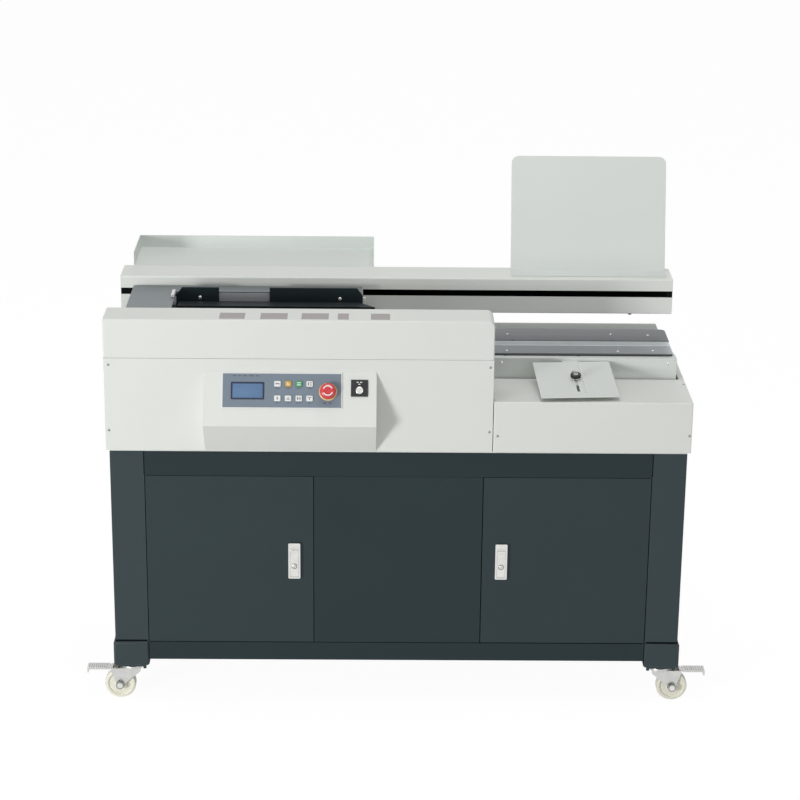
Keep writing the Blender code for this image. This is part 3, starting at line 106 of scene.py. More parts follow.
class Nodes:
    """The nodes of one tree: a wire or a socket given as an input is linked to it."""

    def __init__(self, tree):
        self.tree = tree
        self.tree.nodes.clear()

    def node(self, kind, settings=None, sockets=None, output=0):
        made = self.tree.nodes.new(kind)
        for name, value in (settings or {}).items():
            setattr(made, name, value)
        for key, value in (sockets or {}).items():
            given = value.socket if isinstance(value, Wire) else value
            if isinstance(given, bpy.types.NodeSocket):
                self.tree.links.new(given, made.inputs[key])
            else:
                made.inputs[key].default_value = given
        return Wire(self, made.outputs[output]) if len(made.outputs) else None


class Finish(Nodes):
    """A material of nodes that read the piece's own Object coordinates, and its slot in the record."""

    def __init__(self, name, slot):
        self.slot = slot
        self.material = bpy.data.materials.new(name)
        self.material.use_nodes = True
        super().__init__(self.material.node_tree)
        self.place = self.node("ShaderNodeTexCoord", output="Object")

    def noise(self, stretch, detail=2.0):
        """Noise of 0 to 1; stretch is how many grains go in a metre along X, Y and Z."""
        grid = self.node("ShaderNodeMapping", {}, {"Vector": self.place, "Scale": stretch})
        return self.node("ShaderNodeTexNoise", {}, {"Vector": grid, "Scale": 1.0, "Detail": detail})

    def along(self, axis):
        return self.node("ShaderNodeSeparateXYZ", {}, {0: self.place}, axis)

    def along_beyond(self, axis, reach):
        """1 where the place is further than reach from the middle, and 0 nearer."""
        far = self.node("ShaderNodeMath", {"operation": "ABSOLUTE"}, {0: self.along(axis)})
        return far > reach

    def blend(self, amount, first, second):
        """From the first colour to the second, by an amount of 0 to 1."""
        ends = {0: amount, 6: paint(first), 7: paint(second)}
        return self.node("ShaderNodeMix", {"data_type": "RGBA"}, ends, 2)

    def bump(self, height, strength, distance):
        return self.node("ShaderNodeBump", {},
                         {"Height": height, "Strength": strength, "Distance": distance})

    def surface(self, colour, roughness, metallic=0.0, normal=None, **fixed):
        sockets = {"Base Color": colour, "Roughness": roughness, "Metallic": metallic}
        sockets.update({name.replace("_", " "): value for name, value in fixed.items()})
        if normal is not None:
            sockets["Normal"] = normal
        shader = self.node("ShaderNodeBsdfPrincipled", {}, sockets)
        self.node("ShaderNodeOutputMaterial", {}, {"Surface": shader})
        return self


def paint(colour):
    """A colour with its alpha; a wire stays as it is."""
    return colour if isinstance(colour, Wire) else (*colour, 1.0)


def toned(colour, factor):
    return tuple(min(1.0, value * factor) for value in colour)


def powder_paint(name, slot, colour, roughness, peel=620.0, depth=0.00006, uneven=0.025,
                 shine=0.5, ends=None):
    """Baked powder paint: an orange-peel skin, a little uneven in tone and gloss."""
    finish = Finish(name, slot)
    skin = finish.noise((peel,) * 3)
    patches = finish.noise((4.0, 4.0, 6.0), 3.0)
    specks = finish.noise((130.0,) * 3, 4.0)
    amount = patches * 0.65 + specks * 0.35
    tone = finish.blend(amount, toned(colour, 1 - uneven), toned(colour, 1 + uneven))
    if ends:
        tone = finish.blend(finish.along_beyond(*ends[:2]), tone, ends[2])
    gloss = amount * 0.16 + (roughness - 0.08)
    return finish.surface(tone, gloss, normal=finish.bump(skin, 0.30, depth),
                          Specular_IOR_Level=shine)


def ground_steel(name, slot, colour, roughness, stretch, uneven=0.12, metallic=1.0):
    """Steel ground or rolled one way: fine lines with broader smears between them."""
    finish = Finish(name, slot)
    lines = finish.noise(stretch, 3.0)
    smears = finish.noise(tuple(value / 12 for value in stretch), 3.0)
    amount = lines * 0.45 + smears * 0.55
    tone = finish.blend(amount, toned(colour, 1 - uneven), toned(colour, 1 + uneven))
    gloss = lines * 0.14 + smears * 0.14 + (roughness - 0.14)
    return finish.surface(tone, gloss, metallic, finish.bump(lines, 0.20, 0.00003))


def plated(name, slot, colour, roughness):
    """Zinc or chrome plate over a pressing: slight waves and cloudy patches."""
    finish = Finish(name, slot)
    waves = finish.noise((160.0,) * 3, 2.0)
    clouds = finish.noise((70.0,) * 3, 4.0)
    tone = finish.blend(clouds, toned(colour, 0.86), toned(colour, 1.10))
    gloss = clouds * 0.18 + (roughness - 0.09)
    return finish.surface(tone, gloss, 1.0, finish.bump(waves, 0.25, 0.00008))


def moulded(name, slot, colour, roughness, grain=900.0, uneven=0.04, coat=0.0):
    """Moulded plastic: a fine etched grain and slight flow marks."""
    finish = Finish(name, slot)
    etch = finish.noise((grain,) * 3)
    flow = finish.noise((45.0, 45.0, 90.0), 3.0)
    tone = finish.blend(flow, toned(colour, 1 - uneven), toned(colour, 1 + uneven))
    gloss = flow * 0.14 + (roughness - 0.07)
    return finish.surface(tone, gloss, normal=finish.bump(etch, 0.20, 0.00004), Coat_Weight=coat)


def rough_cast(name, slot, colour, roughness):
    """Painted casting: a coarse sand texture under the paint."""
    finish = Finish(name, slot)
    sand = finish.noise((420.0,) * 3, 4.0)
    patches = finish.noise((22.0,) * 3, 3.0)
    tone = finish.blend(patches, toned(colour, 0.88), toned(colour, 1.12))
    gloss = sand * 0.20 + (roughness - 0.10)
    return finish.surface(tone, gloss, 0.35, finish.bump(sand, 0.45, 0.00016))


SCREEN_DEEP = (0.050, 0.120, 0.245)
SCREEN_PALE = (0.110, 0.210, 0.370)
SCREEN_GLOW = 0.12


def lit_screen():
    """A backlit display: a soft gradient with faint slanting streaks behind clear glass."""
    finish = Finish("display_glass", "screen")
    cloud = finish.noise((18.0, 30.0, 46.0), 2.0)
    streak = finish.noise((30.0, 260.0, 300.0), 1.0)
    amount = cloud * 0.6 + streak * 0.4
    tone = finish.blend(amount, SCREEN_DEEP, SCREEN_PALE)
    return finish.surface(tone, 0.16, Emission_Color=tone, Emission_Strength=SCREEN_GLOW,
                          Coat_Weight=0.4)


# Painted light on the sliding nip strip: a highlight tone for its raised back half, a shaded tone for its front
# half and a painted shadow tone along its front edge.
STRIP_PAINTED_HIGHLIGHT = (0.66, 0.70, 0.73)
STRIP_SHADED_HALF = (0.430, 0.460, 0.480)
STRIP_PAINTED_SHADOW = (0.060, 0.066, 0.070)
STRIP_STEP_Y = -0.022
STRIP_SHADOW_EDGE_Y = -0.084


def strip_with_painted_light():
    """The sliding nip strip, in painted light: a painted shadow along its front edge, a shaded dull front half
    and a painted highlight on its bright raised back half.
    """
    finish = Finish("nip_strip_steel", "bright_steel")
    lines = finish.noise((7.0, 700.0, 700.0), 3.0)
    smears = finish.noise((3.0, 60.0, 60.0), 3.0)
    # Painted light: the highlight behind the step, shade in front of it, and a painted shadow along the front
    # edge.
    raised = finish.along(1) > STRIP_STEP_Y
    clear_of_painted_shadow = finish.along(1) > STRIP_SHADOW_EDGE_Y
    flat = finish.blend(raised, STRIP_SHADED_HALF, STRIP_PAINTED_HIGHLIGHT)
    tone = finish.blend(clear_of_painted_shadow, STRIP_PAINTED_SHADOW, flat)
    worn = finish.blend(lines * 0.5 + smears * 0.5, (0.80, 0.80, 0.80), (1.0, 1.0, 1.0))
    colour = finish.node("ShaderNodeMix", {"data_type": "RGBA", "blend_type": "MULTIPLY"},
                         {0: 1.0, 6: tone, 7: worn}, 2)
    gloss = lines * 0.16 + smears * 0.12 + 0.20
    return finish.surface(colour, gloss, 0.85, finish.bump(lines, 0.20, 0.00003))


POST_IN = 0.600
CASING = powder_paint("casing_paint", "casing_white", (0.765, 0.785, 0.745), 0.42)
SHEET = powder_paint("sheet_paint", "cream_sheet", (0.700, 0.735, 0.710), 0.44)
# Roughness, peel, depth, unevenness and shine of the darker paints
SLATE_SKIN = (0.42, 900.0, 0.00007, 0.08, 0.25)
BLACK_SKIN = (0.46, 800.0, 0.00005, 0.10, 0.18)
INSIDE_SKIN = (0.70, 800.0, 0.00005, 0.10, 0.05)
POST_TONE = (0.034, 0.051, 0.056)
SLATE = powder_paint("slate_paint", "slate_paint", (0.013, 0.026, 0.030), *SLATE_SKIN,
                     (0, POST_IN, POST_TONE))
SLATE_DOOR = powder_paint("slate_door_paint", "slate_panel", (0.024, 0.040, 0.044), *SLATE_SKIN)
SLATE_PANEL = powder_paint("slate_panel_paint", "slate_panel", (0.016, 0.030, 0.034), *SLATE_SKIN)
BLACK = powder_paint("black_paint", "black_paint", (0.010, 0.015, 0.018), *BLACK_SKIN)
PAD = powder_paint("pad_paint", "black_paint", (0.018, 0.028, 0.032), *BLACK_SKIN)
# Near-black painted shade: it fills the cabinet's seams, the band above each boot, the ends of the beam's slot
# and the beam's inside.
PAINTED_SHADE_BLACK = powder_paint("dark_inside", "black_paint", (0.004, 0.005, 0.006), *INSIDE_SKIN)
FIXING = plated("fixing_zinc", "zinc", (0.330, 0.335, 0.335), 0.40)
BLACK_PLASTIC = moulded("black_plastic", "black_plastic", (0.013, 0.014, 0.015), 0.38)
RUBBER = moulded("tread_rubber", "black_plastic", (0.300, 0.295, 0.290), 0.62, 500.0)
BRIGHT = ground_steel("bright_steel", "bright_steel", (0.560, 0.575, 0.585), 0.30,
                      (9.0, 520.0, 520.0))
TURNED = ground_steel("turned_steel", "bright_steel", (0.600, 0.605, 0.610), 0.26,
                      (420.0, 420.0, 30.0))
DULL = ground_steel("table_steel", "dark_steel", (0.180, 0.205, 0.214), 0.42,
                    (8.0, 380.0, 380.0), 0.07, 0.45)
JAW_STEEL = ground_steel("jaw_steel", "bright_steel", (0.480, 0.500, 0.510), 0.46,
                         (8.0, 420.0, 420.0), 0.10, 0.35)
# The rear nip strip's strong unevenness paints bright sheen streaks along it, over its grinding smears.
DARK_STRIP = ground_steel("dark_strip_steel", "dark_steel", (0.125, 0.136, 0.144), 0.32,
                          (4.0, 480.0, 480.0), 0.34, 0.75)
GREY_BED = powder_paint("grey_bed_paint", "cream_sheet", (0.450, 0.465, 0.458), 0.46)
CAST = rough_cast("grey_casting", "grey_cast", (0.190, 0.205, 0.212), 0.52)
CHROME = plated("chrome_plate", "chrome", (0.740, 0.735, 0.715), 0.17)
ZINC = plated("zinc_plate", "zinc", (0.600, 0.600, 0.585), 0.34)
NYLON = moulded("wheel_nylon", "nylon", (0.860, 0.845, 0.720), 0.42, 500.0)
FILM = moulded("panel_film", "panel_film", (0.185, 0.230, 0.280), 0.42, 1400.0, 0.03)
SCREEN = lit_screen()
BEZEL = moulded("screen_bezel", "screen", (0.018, 0.024, 0.060), 0.30)
RED = moulded("stop_red", "red_plastic", (0.640, 0.035, 0.042), 0.26, 700.0, 0.05, 0.3)
YELLOW = moulded("key_amber", "yellow_plastic", (0.620, 0.370, 0.060), 0.34, 900.0)
PALE_YELLOW = moulded("stop_ring", "yellow_plastic", (0.800, 0.600, 0.260), 0.34, 900.0)
GREEN = moulded("key_green", "green_plastic", (0.050, 0.360, 0.130), 0.34, 900.0)
WHITE = moulded("key_white", "white_plastic", (0.820, 0.825, 0.820), 0.34, 900.0, 0.02)
MARK = moulded("printed_mark", "black_plastic", (0.075, 0.085, 0.100), 0.45)
BLANK_STRIP = moulded("blank_strip", "panel_film", (0.345, 0.315, 0.305), 0.40, 900.0, 0.05)
STRIP = strip_with_painted_light()


# Shapes

def add_block(form, low, high, at=None):
    size = [b - a for a, b in zip(low, high)]
    middle = [(a + b) / 2 for a, b in zip(low, high)]
    matrix = Matrix.Translation(middle) @ Matrix.Diagonal((*size, 1))
    return bmesh.ops.create_cube(form, size=1, matrix=(at @ matrix) if at else matrix)["verts"]


def block(low, high, edge=0.0, steps=2):
    """A block with its edges rounded."""
    form = bmesh.new()
    add_block(form, low, high)
    if edge:
        round_edges(form, form.edges[:], edge, steps)
    return form


def blocks(corners, edge=0.0):
    form = bmesh.new()
    for low, high in corners:
        add_block(form, low, high)
    if edge:
        round_edges(form, form.edges[:], edge, 1)
    return form


def round_edges(form, edges, width, steps=2):
    bmesh.ops.bevel(form, geom=edges, offset=width, offset_type="OFFSET", segments=steps,
                    profile=0.5, affect="EDGES", clamp_overlap=True)


def sharp_edges(form, least=CREASE):
    return [e for e in form.edges if len(e.link_faces) == 2 and e.calc_face_angle(0) > least]


def turned(profile, steps=40, ring=False, lift=0.0):
    """A turned shape from (radius, height) pairs, from its top to its foot, raised by a lift."""
    form = bmesh.new()
    points = [form.verts.new((radius, 0, height + lift)) for radius, height in profile]
    lines = [form.edges.new(pair) for pair in zip(points, points[1:])]
    if ring:
        lines.append(form.edges.new((points[-1], points[0])))
    bmesh.ops.spin(form, geom=points + lines, axis=(0, 0, 1), cent=(0, 0, 0), angle=2 * pi,
                   steps=steps)
    bmesh.ops.remove_doubles(form, verts=form.verts, dist=WELD / 4)
    bmesh.ops.recalc_face_normals(form, faces=form.faces)
    return form


def slab(points, low, high, edge=0.0, steps=2):
    """A flat outline in X and Y, made solid from low to high in Z."""
    form = bmesh.new()
    foot = form.faces.new([form.verts.new((x, y, low)) for x, y in points])
    grown = bmesh.ops.extrude_face_region(form, geom=[foot])
    raised = [v for v in grown["geom"] if isinstance(v, bmesh.types.BMVert)]
    bmesh.ops.translate(form, vec=(0, 0, high - low), verts=raised)
    bmesh.ops.recalc_face_normals(form, faces=form.faces)
    if edge:
        round_edges(form, sharp_edges(form, radians(50)), edge, steps)
    return form


def arc(centre, radius, start, end, steps=8):
    turn = [start + (end - start) * i / steps for i in range(steps + 1)]
    return [(centre[0] + radius * cos(a), centre[1] + radius * sin(a)) for a in turn]


def rounded_outline(low, high, radius, steps=5):
    """A rectangle with round corners, as points in X and Y."""
    x0, y0, x1, y1 = low[0] + radius, low[1] + radius, high[0] - radius, high[1] - radius
    return [*arc((x1, y0), radius, -pi / 2, 0, steps), *arc((x1, y1), radius, 0, pi / 2, steps),
            *arc((x0, y1), radius, pi / 2, pi, steps), *arc((x0, y0), radius, pi, 1.5 * pi, steps)]


def temporary(form, name="temporary"):
    mesh = bpy.data.meshes.new(name)
    form.to_mesh(mesh)
    form.free()
    made = bpy.data.objects.new(name, mesh)
    bpy.context.scene.collection.objects.link(made)
    return made


def taken(source, *others):
    """The evaluated shape of an object as a form; the object and its helpers are removed."""
    graph = bpy.context.evaluated_depsgraph_get()
    mesh = bpy.data.meshes.new_from_object(source.evaluated_get(graph))
    form = bmesh.new()
    form.from_mesh(mesh)
    bpy.data.meshes.remove(mesh)
    for old in (source, *others):
        bpy.data.objects.remove(old, do_unlink=True)
    return form


def cut(form, tool):
    """The first form with the second one cut out of it."""
    whole = temporary(form)
    knife = temporary(tool, "knife")
    step = whole.modifiers.new("cut", "BOOLEAN")
    step.operation = "DIFFERENCE"
    step.solver = "EXACT"
    step.object = knife
    return taken(whole, knife)


def merged(*forms):
    """Several forms as one."""
    mesh = bpy.data.meshes.new("merged")
    whole = bmesh.new()
    for form in forms:
        form.to_mesh(mesh)
        form.free()
        whole.from_mesh(mesh)
    bpy.data.meshes.remove(mesh)
    return whole


def piece(name, form, finish, body, at=None, replaces=(), even=False):
    """A finished piece in place: its finish, the body it rides on and the nodes it stands for."""
    if at is not None:
        bmesh.ops.transform(form, matrix=at, verts=form.verts)
    made = temporary(form, name)
    made.data.materials.clear()
    made.data.materials.append(finish.material)
    made.data.shade_smooth()
    made.data.set_sharp_from_angle(angle=CREASE)
    if even:
        normals = made.modifiers.new("even_normals", "WEIGHTED_NORMAL")
        normals.keep_sharp = True
    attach(made, body)
    if replaces:
        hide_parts(*replaces)
    return made


# Repeats, made by Geometry Nodes

class Tree(Nodes):
    """A Geometry Nodes tree with a shape, a finish and named sizes as its inputs."""

    def __init__(self, name, sizes):
        super().__init__(bpy.data.node_groups.new(name, "GeometryNodeTree"))
        face = self.tree.interface
        given = {"Shape": "Geometry", "Finish": "Material", **sizes}
        for label, kind in given.items():
            face.new_socket(name=label, in_out="INPUT", socket_type="NodeSocket" + kind)
        face.new_socket(name="Shape", in_out="OUTPUT", socket_type="NodeSocketGeometry")
        self.given = self.tree.nodes.new("NodeGroupInput").outputs

    def close(self, instances):
        whole = self.node("GeometryNodeRealizeInstances", {}, {0: instances})
        coated = self.node("GeometryNodeSetMaterial", {},
                           {"Geometry": whole, "Material": self.given["Finish"]})
        self.node("NodeGroupOutput", {}, {0: coated})
        return self

    def grow(self, form, finish, **sizes):
        """The plain shape that the tree makes from a form."""
        seed = temporary(form, "seed")
        step = seed.modifiers.new("grow", "NODES")
        step.node_group = self.tree
        known = {item.name: item.identifier for item in self.tree.interface.items_tree
                 if item.in_out == "INPUT"}
        for label, value in {"Finish": finish.material, **sizes}.items():
            step[known[label]] = value
        seed.update_tag()
        return taken(seed)


def row_tree():
    """Copies of the shape in a straight row."""
    tree = Tree("row", {"Count": "Int", "Step": "Vector"})
    line = tree.node("GeometryNodeMeshLine", {"mode": "OFFSET"},
                     {"Count": tree.given["Count"], "Offset": tree.given["Step"]})
    return tree.close(tree.node("GeometryNodeInstanceOnPoints", {},
                                {"Points": line, "Instance": tree.given["Shape"]}))


def ring_tree():
    """Copies of the shape in a ring round Z, each turned outwards."""
    tree = Tree("ring", {"Count": "Int", "Radius": "Float"})
    ring = tree.node("GeometryNodeMeshCircle", {},
                     {"Vertices": tree.given["Count"], "Radius": tree.given["Radius"]})
    place = tree.node("GeometryNodeInputPosition")
    turn = tree.node("FunctionNodeAlignRotationToVector", {"axis": "X", "pivot_axis": "Z"},
                     {"Vector": place})
    return tree.close(tree.node("GeometryNodeInstanceOnPoints", {},
                                {"Points": ring, "Instance": tree.given["Shape"],
                                 "Rotation": turn}))


def fastener_tree():
    """A fastener on each marked point, its head facing the way that the point says."""
    tree = Tree("fasteners", {"Fastener": "Object"})
    facing = tree.node("GeometryNodeInputNamedAttribute", {"data_type": "FLOAT_VECTOR"},
                       {"Name": "facing"})
    turn = tree.node("FunctionNodeAlignRotationToVector", {"axis": "Z"}, {"Vector": facing})
    head = tree.node("GeometryNodeObjectInfo", {}, {"Object": tree.given["Fastener"]}, "Geometry")
    return tree.close(tree.node("GeometryNodeInstanceOnPoints", {},
                                {"Points": tree.given["Shape"], "Instance": head,
                                 "Rotation": turn}))


ROW = row_tree()
RING = ring_tree()
FASTENERS = fastener_tree()


def cross_head(radius, height, width_share=0.22, reach_share=0.62):
    """A pan-head screw with a cross recess, seated at Z 0."""
    profile = [(0, height), (radius * 0.55, height * 0.94), (radius * 0.86, height * 0.62),
               (radius, height * 0.20), (radius, -height * 0.3), (0, -height * 0.3)]
    width = radius * width_share
    reach = radius * reach_share
    floor = height * 0.35
    recess = blocks([((-reach, -width, floor), (reach, width, height * 2))])
    other = blocks([((-width, -reach, floor), (width, reach, height * 2))])
    return cut(cut(turned(profile, 20), recess), other)


def screws(name, places, body, radius=0.0032, height=0.0012, finish=None):
    """Screws at (place, facing) pairs, all on one body."""
    finish = finish or CHROME
    marks = bmesh.new()
    layer = marks.verts.layers.float_vector.new("facing")
    for place, facing in places:
        marks.verts.new(place)[layer] = facing
    head = temporary(cross_head(radius, height), "fastener")
    form = FASTENERS.grow(marks, finish, Fastener=head)
    bpy.data.objects.remove(head, do_unlink=True)
    return piece(name, form, finish, body)


# Nodes with their bends and edges rounded

def welded(node):
    """A copy of a node's mesh, with its corners joined and its flat faces made whole."""
    form = bmesh.new()
    form.from_mesh(frame["nodes"][node].data)
    bmesh.ops.remove_doubles(form, verts=form.verts, dist=WELD)
    bmesh.ops.dissolve_limit(form, angle_limit=FLAT, verts=form.verts, edges=form.edges)
    return form


def breadth(face):
    return 2 * face.calc_area() / face.calc_perimeter()


def bends(form, outward, narrow):
    """The edges where two broad faces meet, outward or inward."""
    found = []
    for edge in form.edges:
        if len(edge.link_faces) != 2:
            continue
        turn = edge.calc_face_angle_signed(0) * (1 if outward else -1)
        if turn > radians(20) and min(breadth(face) for face in edge.link_faces) > narrow:
            found.append(edge)
    return found


def bent_sheet(node, finish, outer=0.003, inner=0.0015, narrow=0.004, tool=None):
    """A node of folded sheet metal: its folds get their outer and inner radius."""
    form = welded(node)
    if tool is not None:
        form = cut(form, tool)
        bmesh.ops.dissolve_limit(form, angle_limit=FLAT, verts=form.verts, edges=form.edges)
    round_edges(form, bends(form, True, narrow), outer, 4)
    round_edges(form, bends(form, False, narrow), inner, 3)
    return piece(node + "_sheet", form, finish, BODY_OF[node], replaces=[node], even=True)


def soft_solid(node, finish, edge=0.0005, steps=2):
    """A solid node with every sharp edge broken."""
    form = welded(node)
    outside = [e for e in sharp_edges(form) if e.calc_face_angle_signed(0) > 0]
    round_edges(form, outside, edge, steps)
    return piece(node + "_solid", form, finish, BODY_OF[node], replaces=[node], even=True)


SHEETS = {
    "lid": (CASING, 0.0030), "rear_cover": (CASING, 0.0025), "right_cover": (CASING, 0.0030),
    "left_cover": (CASING, 0.0025), "book_tray": (SHEET, 0.0020),
    "centre_panel": (SLATE_PANEL, 0.0016), "left_door": (SLATE_DOOR, 0.0016),
    "right_door": (SLATE_DOOR, 0.0016), "glue_tank": (CAST, 0.0020),
}
SOLIDS = {
    "back_panel": (SLATE_DOOR, 0.0005), "deck_plate": (SHEET, 0.0008),
    # The control plate is white so that its rim round the film paints the highlight along the plate's edge.
    "control_plate": (WHITE, 0.0003), "key_switch": (BLACK_PLASTIC, 0.0006),
    "guide_rail": (BRIGHT, 0.0005), "cover_rack": (SHEET, 0.0006),
    "carriage_saddle": (DULL, 0.0010), "carriage_table": (DULL, 0.0005),
    "rear_jaw": (JAW_STEEL, 0.0008), "jaw_pad": (PAD, 0.0022), "front_jaw": (BLACK, 0.0010),
    "clamp_gearbox": (CAST, 0.0010), "milling_motor": (CAST, 0.0010),
    "milling_cutter": (TURNED, 0.0006), "glue_roller_first": (TURNED, 0.0008),
    "glue_roller_second": (TURNED, 0.0008), "lift_base": (CAST, 0.0020),
    "front_nip_plate": (STRIP, 0.0006), "rear_nip_plate": (DARK_STRIP, 0.0006),
    "guide_plate": (SHEET, 0.0005), "power_inlet": (BLACK_PLASTIC, 0.0008),
}


def make_plain_nodes():
    for node, (finish, outer) in SHEETS.items():
        bent_sheet(node, finish, outer)
    for node, (finish, edge) in SOLIDS.items():
        soft_solid(node, finish, edge)


# Cabinet

SEAM_W = 0.0024
SEAM_DEEP = 0.0012
SEAM_SHADE_DEEP = 0.0005
# Size of the band of painted shade round each post's foot, just above its boot.
BOOT_SHADE_H = 0.010
BOOT_SHADE_T = 0.0004
BOOT_SHADE_IN = 0.0030
POST_OUT = 0.680


def make_cabinet():
    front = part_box("deck_plate")[0].y
    door_low, door_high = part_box("left_door")
    panel_low, panel_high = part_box("centre_panel")
    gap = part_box("right_door")[0].x - panel_high.x
    post = door_low.x - gap
    bottom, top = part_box("back_panel")[0].z - 0.060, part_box("deck_plate")[0].z
    grooves = []
    for x in (post, -post):
        for low, high in ((panel_high.z + SEAM_W, top), (bottom, panel_low.z - SEAM_W)):
            grooves.append(((x - SEAM_W / 2, front - SEAM_W, low),
                            (x + SEAM_W / 2, front + SEAM_DEEP, high)))
    bent_sheet("cabinet_body", SLATE, 0.0022, 0.0012, tool=blocks(grooves))
    # Near-black blocks sunk in the grooves paint the shade inside the seams.
    seam_shade = [((low[0] + SINK, front + SEAM_SHADE_DEEP, low[2] + SINK),
              (high[0] - SINK, front + SEAM_DEEP + SINK, high[2] - SINK)) for low, high in grooves]
    piece("cabinet_seams", blocks(seam_shade), PAINTED_SHADE_BLACK, "frame")
    # A near-black band above each boot paints the shade in the groove there.
    boot_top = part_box("left_door")[0].z - 0.0005
    boot_shades = [((x0, front - BOOT_SHADE_T, boot_top), (x1, front + SINK, boot_top + BOOT_SHADE_H))
             for x0, x1 in ((-POST_OUT, -POST_IN - BOOT_SHADE_IN), (POST_IN + BOOT_SHADE_IN, POST_OUT))]
    piece("boot_seals", blocks(boot_shades), PAINTED_SHADE_BLACK, "frame")
    make_deck_edges()


DECK_EDGE_OUT = 0.0062


def make_deck_edges():
    """Strips that close the slot under the covers' sides and back, level with the deck."""
    low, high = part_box("deck_plate")
    back_x, back_y = high.x + DECK_EDGE_OUT, high.y + DECK_EDGE_OUT
    strips = [((-back_x, high.y - SINK, low.z), (back_x, back_y, high.z))]
    for x0, x1 in ((-back_x, low.x + SINK), (high.x - SINK, back_x)):
        strips.append(((x0, low.y + DECK_EDGE_OUT, low.z), (x1, high.y, high.z)))
    piece("deck_edges", blocks(strips), SHEET, "frame")


LOCK_CORNER_SHARE = 0.10
LOCK_ROOM = 0.0004
DISH_IN = 0.0035
DISH_DEEP = 0.0012
GRIP_DOWN = (0.0075, 0.0060)
GRIP_IN = 0.003
GRIP_DEEP = 0.0010
CYLINDER_SHARE = 0.40
CYLINDER_FACE = [(0, 0.0014), (0.0045, 0.0014), (0.0056, 0.0008), (0.0056, -SINK), (0, -SINK)]
CYLINDER_RING = [(0.0056, 0.0006), (0.0068, 0.0006), (0.0068, -SINK), (0.0056, -SINK)]
KEYWAY = ((-0.0005, -0.0034, 0.0004), (0.0005, 0.0034, 0.003))


def make_lock(side):
    """A flush paddle lock: a bordered housing, and its pull with a key cylinder."""
    lock, paddle = side + "_lock", side + "_paddle"
    low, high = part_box(lock)
    pad_low, pad_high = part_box(paddle)
    width = high.x - low.x
    before = low.y - width
    outline = rounded_outline((low.x, low.z), (high.x, high.z), width * LOCK_CORNER_SHARE)
    housing = slab(outline, -high.y, -low.y, 0.0009, 2)
    upright = Matrix(((1, 0, 0, 0), (0, 0, -1, 0), (0, 1, 0, 0), (0, 0, 0, 1)))
    bmesh.ops.transform(housing, matrix=upright, verts=housing.verts)
    well = block((pad_low.x - LOCK_ROOM, before, pad_low.z - LOCK_ROOM),
                 (pad_high.x + LOCK_ROOM, pad_high.y + LOCK_ROOM, pad_high.z + LOCK_ROOM * 3))
    dish = block((pad_low.x - DISH_DEEP, before, pad_high.z + DISH_IN),
                 (pad_high.x + DISH_DEEP, low.y + DISH_DEEP, high.z - DISH_IN))
    piece(lock + "_housing", cut(cut(housing, well), dish), CHROME, BODY_OF[lock],
          replaces=[lock], even=True)
    grip = block((pad_low.x + GRIP_IN, pad_low.y - GRIP_DEEP, pad_high.z - GRIP_DOWN[0]),
                 (pad_high.x - GRIP_IN, pad_low.y + GRIP_DEEP, pad_high.z - GRIP_DOWN[1]))
    pull = cut(block(pad_low, pad_high, 0.0008, 3), grip)
    piece(lock + "_pull", pull, CHROME, BODY_OF[paddle], replaces=[paddle], even=True)
    cylinder_z = pad_low.z + (pad_high.z - pad_low.z) * CYLINDER_SHARE
    into = (Matrix.Translation(((pad_low.x + pad_high.x) / 2, pad_low.y, cylinder_z))
            @ Matrix.Rotation(pi / 2, 4, "X"))
    face = cut(turned(CYLINDER_FACE, 28), block(*KEYWAY))
    piece(lock + "_cylinder", face, ZINC, BODY_OF[paddle], into)
    piece(lock + "_ring", turned(CYLINDER_RING, 28, True), BLACK_PLASTIC, BODY_OF[paddle], into)


LOUVRE_W = 0.110
LOUVRE_PITCH = 0.018
LOUVRE_COUNT = 9
LOUVRE_X = 0.36
# How far down and how far out each corner of a louvre stands
LOUVRE_PROFILE = [(0, 0), (0.0046, 0.0036), (0.0094, 0.0042), (0.0094, 0.0034), (0.0050, 0.0026),
                  (0.0008, -SINK)]
PANEL_SCREW_IN = 0.0045
PANEL_SCREWS_X = (-0.30, 0.0, 0.30)


def make_back():
    low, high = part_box("back_panel")
    louvre = bmesh.new()
    rows = [[louvre.verts.new((x, high.y + out, -down)) for down, out in LOUVRE_PROFILE]
            for x in (-LOUVRE_W / 2, LOUVRE_W / 2)]
    for i in range(len(LOUVRE_PROFILE)):
        louvre.faces.new((rows[0][i - 1], rows[0][i], rows[1][i], rows[1][i - 1]))
    for row in rows:
        louvre.faces.new(row)
    bmesh.ops.recalc_face_normals(louvre, faces=louvre.faces)
    column = ROW.grow(louvre, SLATE_DOOR, Count=LOUVRE_COUNT, Step=(0, 0, -LOUVRE_PITCH))
    columns = ROW.grow(column, SLATE_DOOR, Count=2, Step=(2 * LOUVRE_X, 0, 0))
    start = (low.z + high.z + LOUVRE_PITCH * (LOUVRE_COUNT - 1)) / 2
    piece("back_louvres", columns, SLATE_DOOR, "frame", Matrix.Translation((-LOUVRE_X, 0, start)))
    foot, head = low.z + PANEL_SCREW_IN, high.z - PANEL_SCREW_IN
    spots = [(x, z) for z in (foot, (foot + head) / 2, head)
             for x in (low.x + PANEL_SCREW_IN, high.x - PANEL_SCREW_IN)]
    spots += [(x, z) for x in PANEL_SCREWS_X for z in (foot, head)]
    screws("back_panel_screws", [((x, high.y - SINK, z), (0, 1, 0)) for x, z in spots], "frame",
           0.0030, 0.0014, ZINC)


# Castors

WHEEL_STEPS = 64
WHEEL_BORE, WHEEL_HUB, RIM_WIDTH = 0.0045, 0.0125, 0.0085
SWIVEL_OFFSET = 0.031
RACE_DOWN = 0.0004
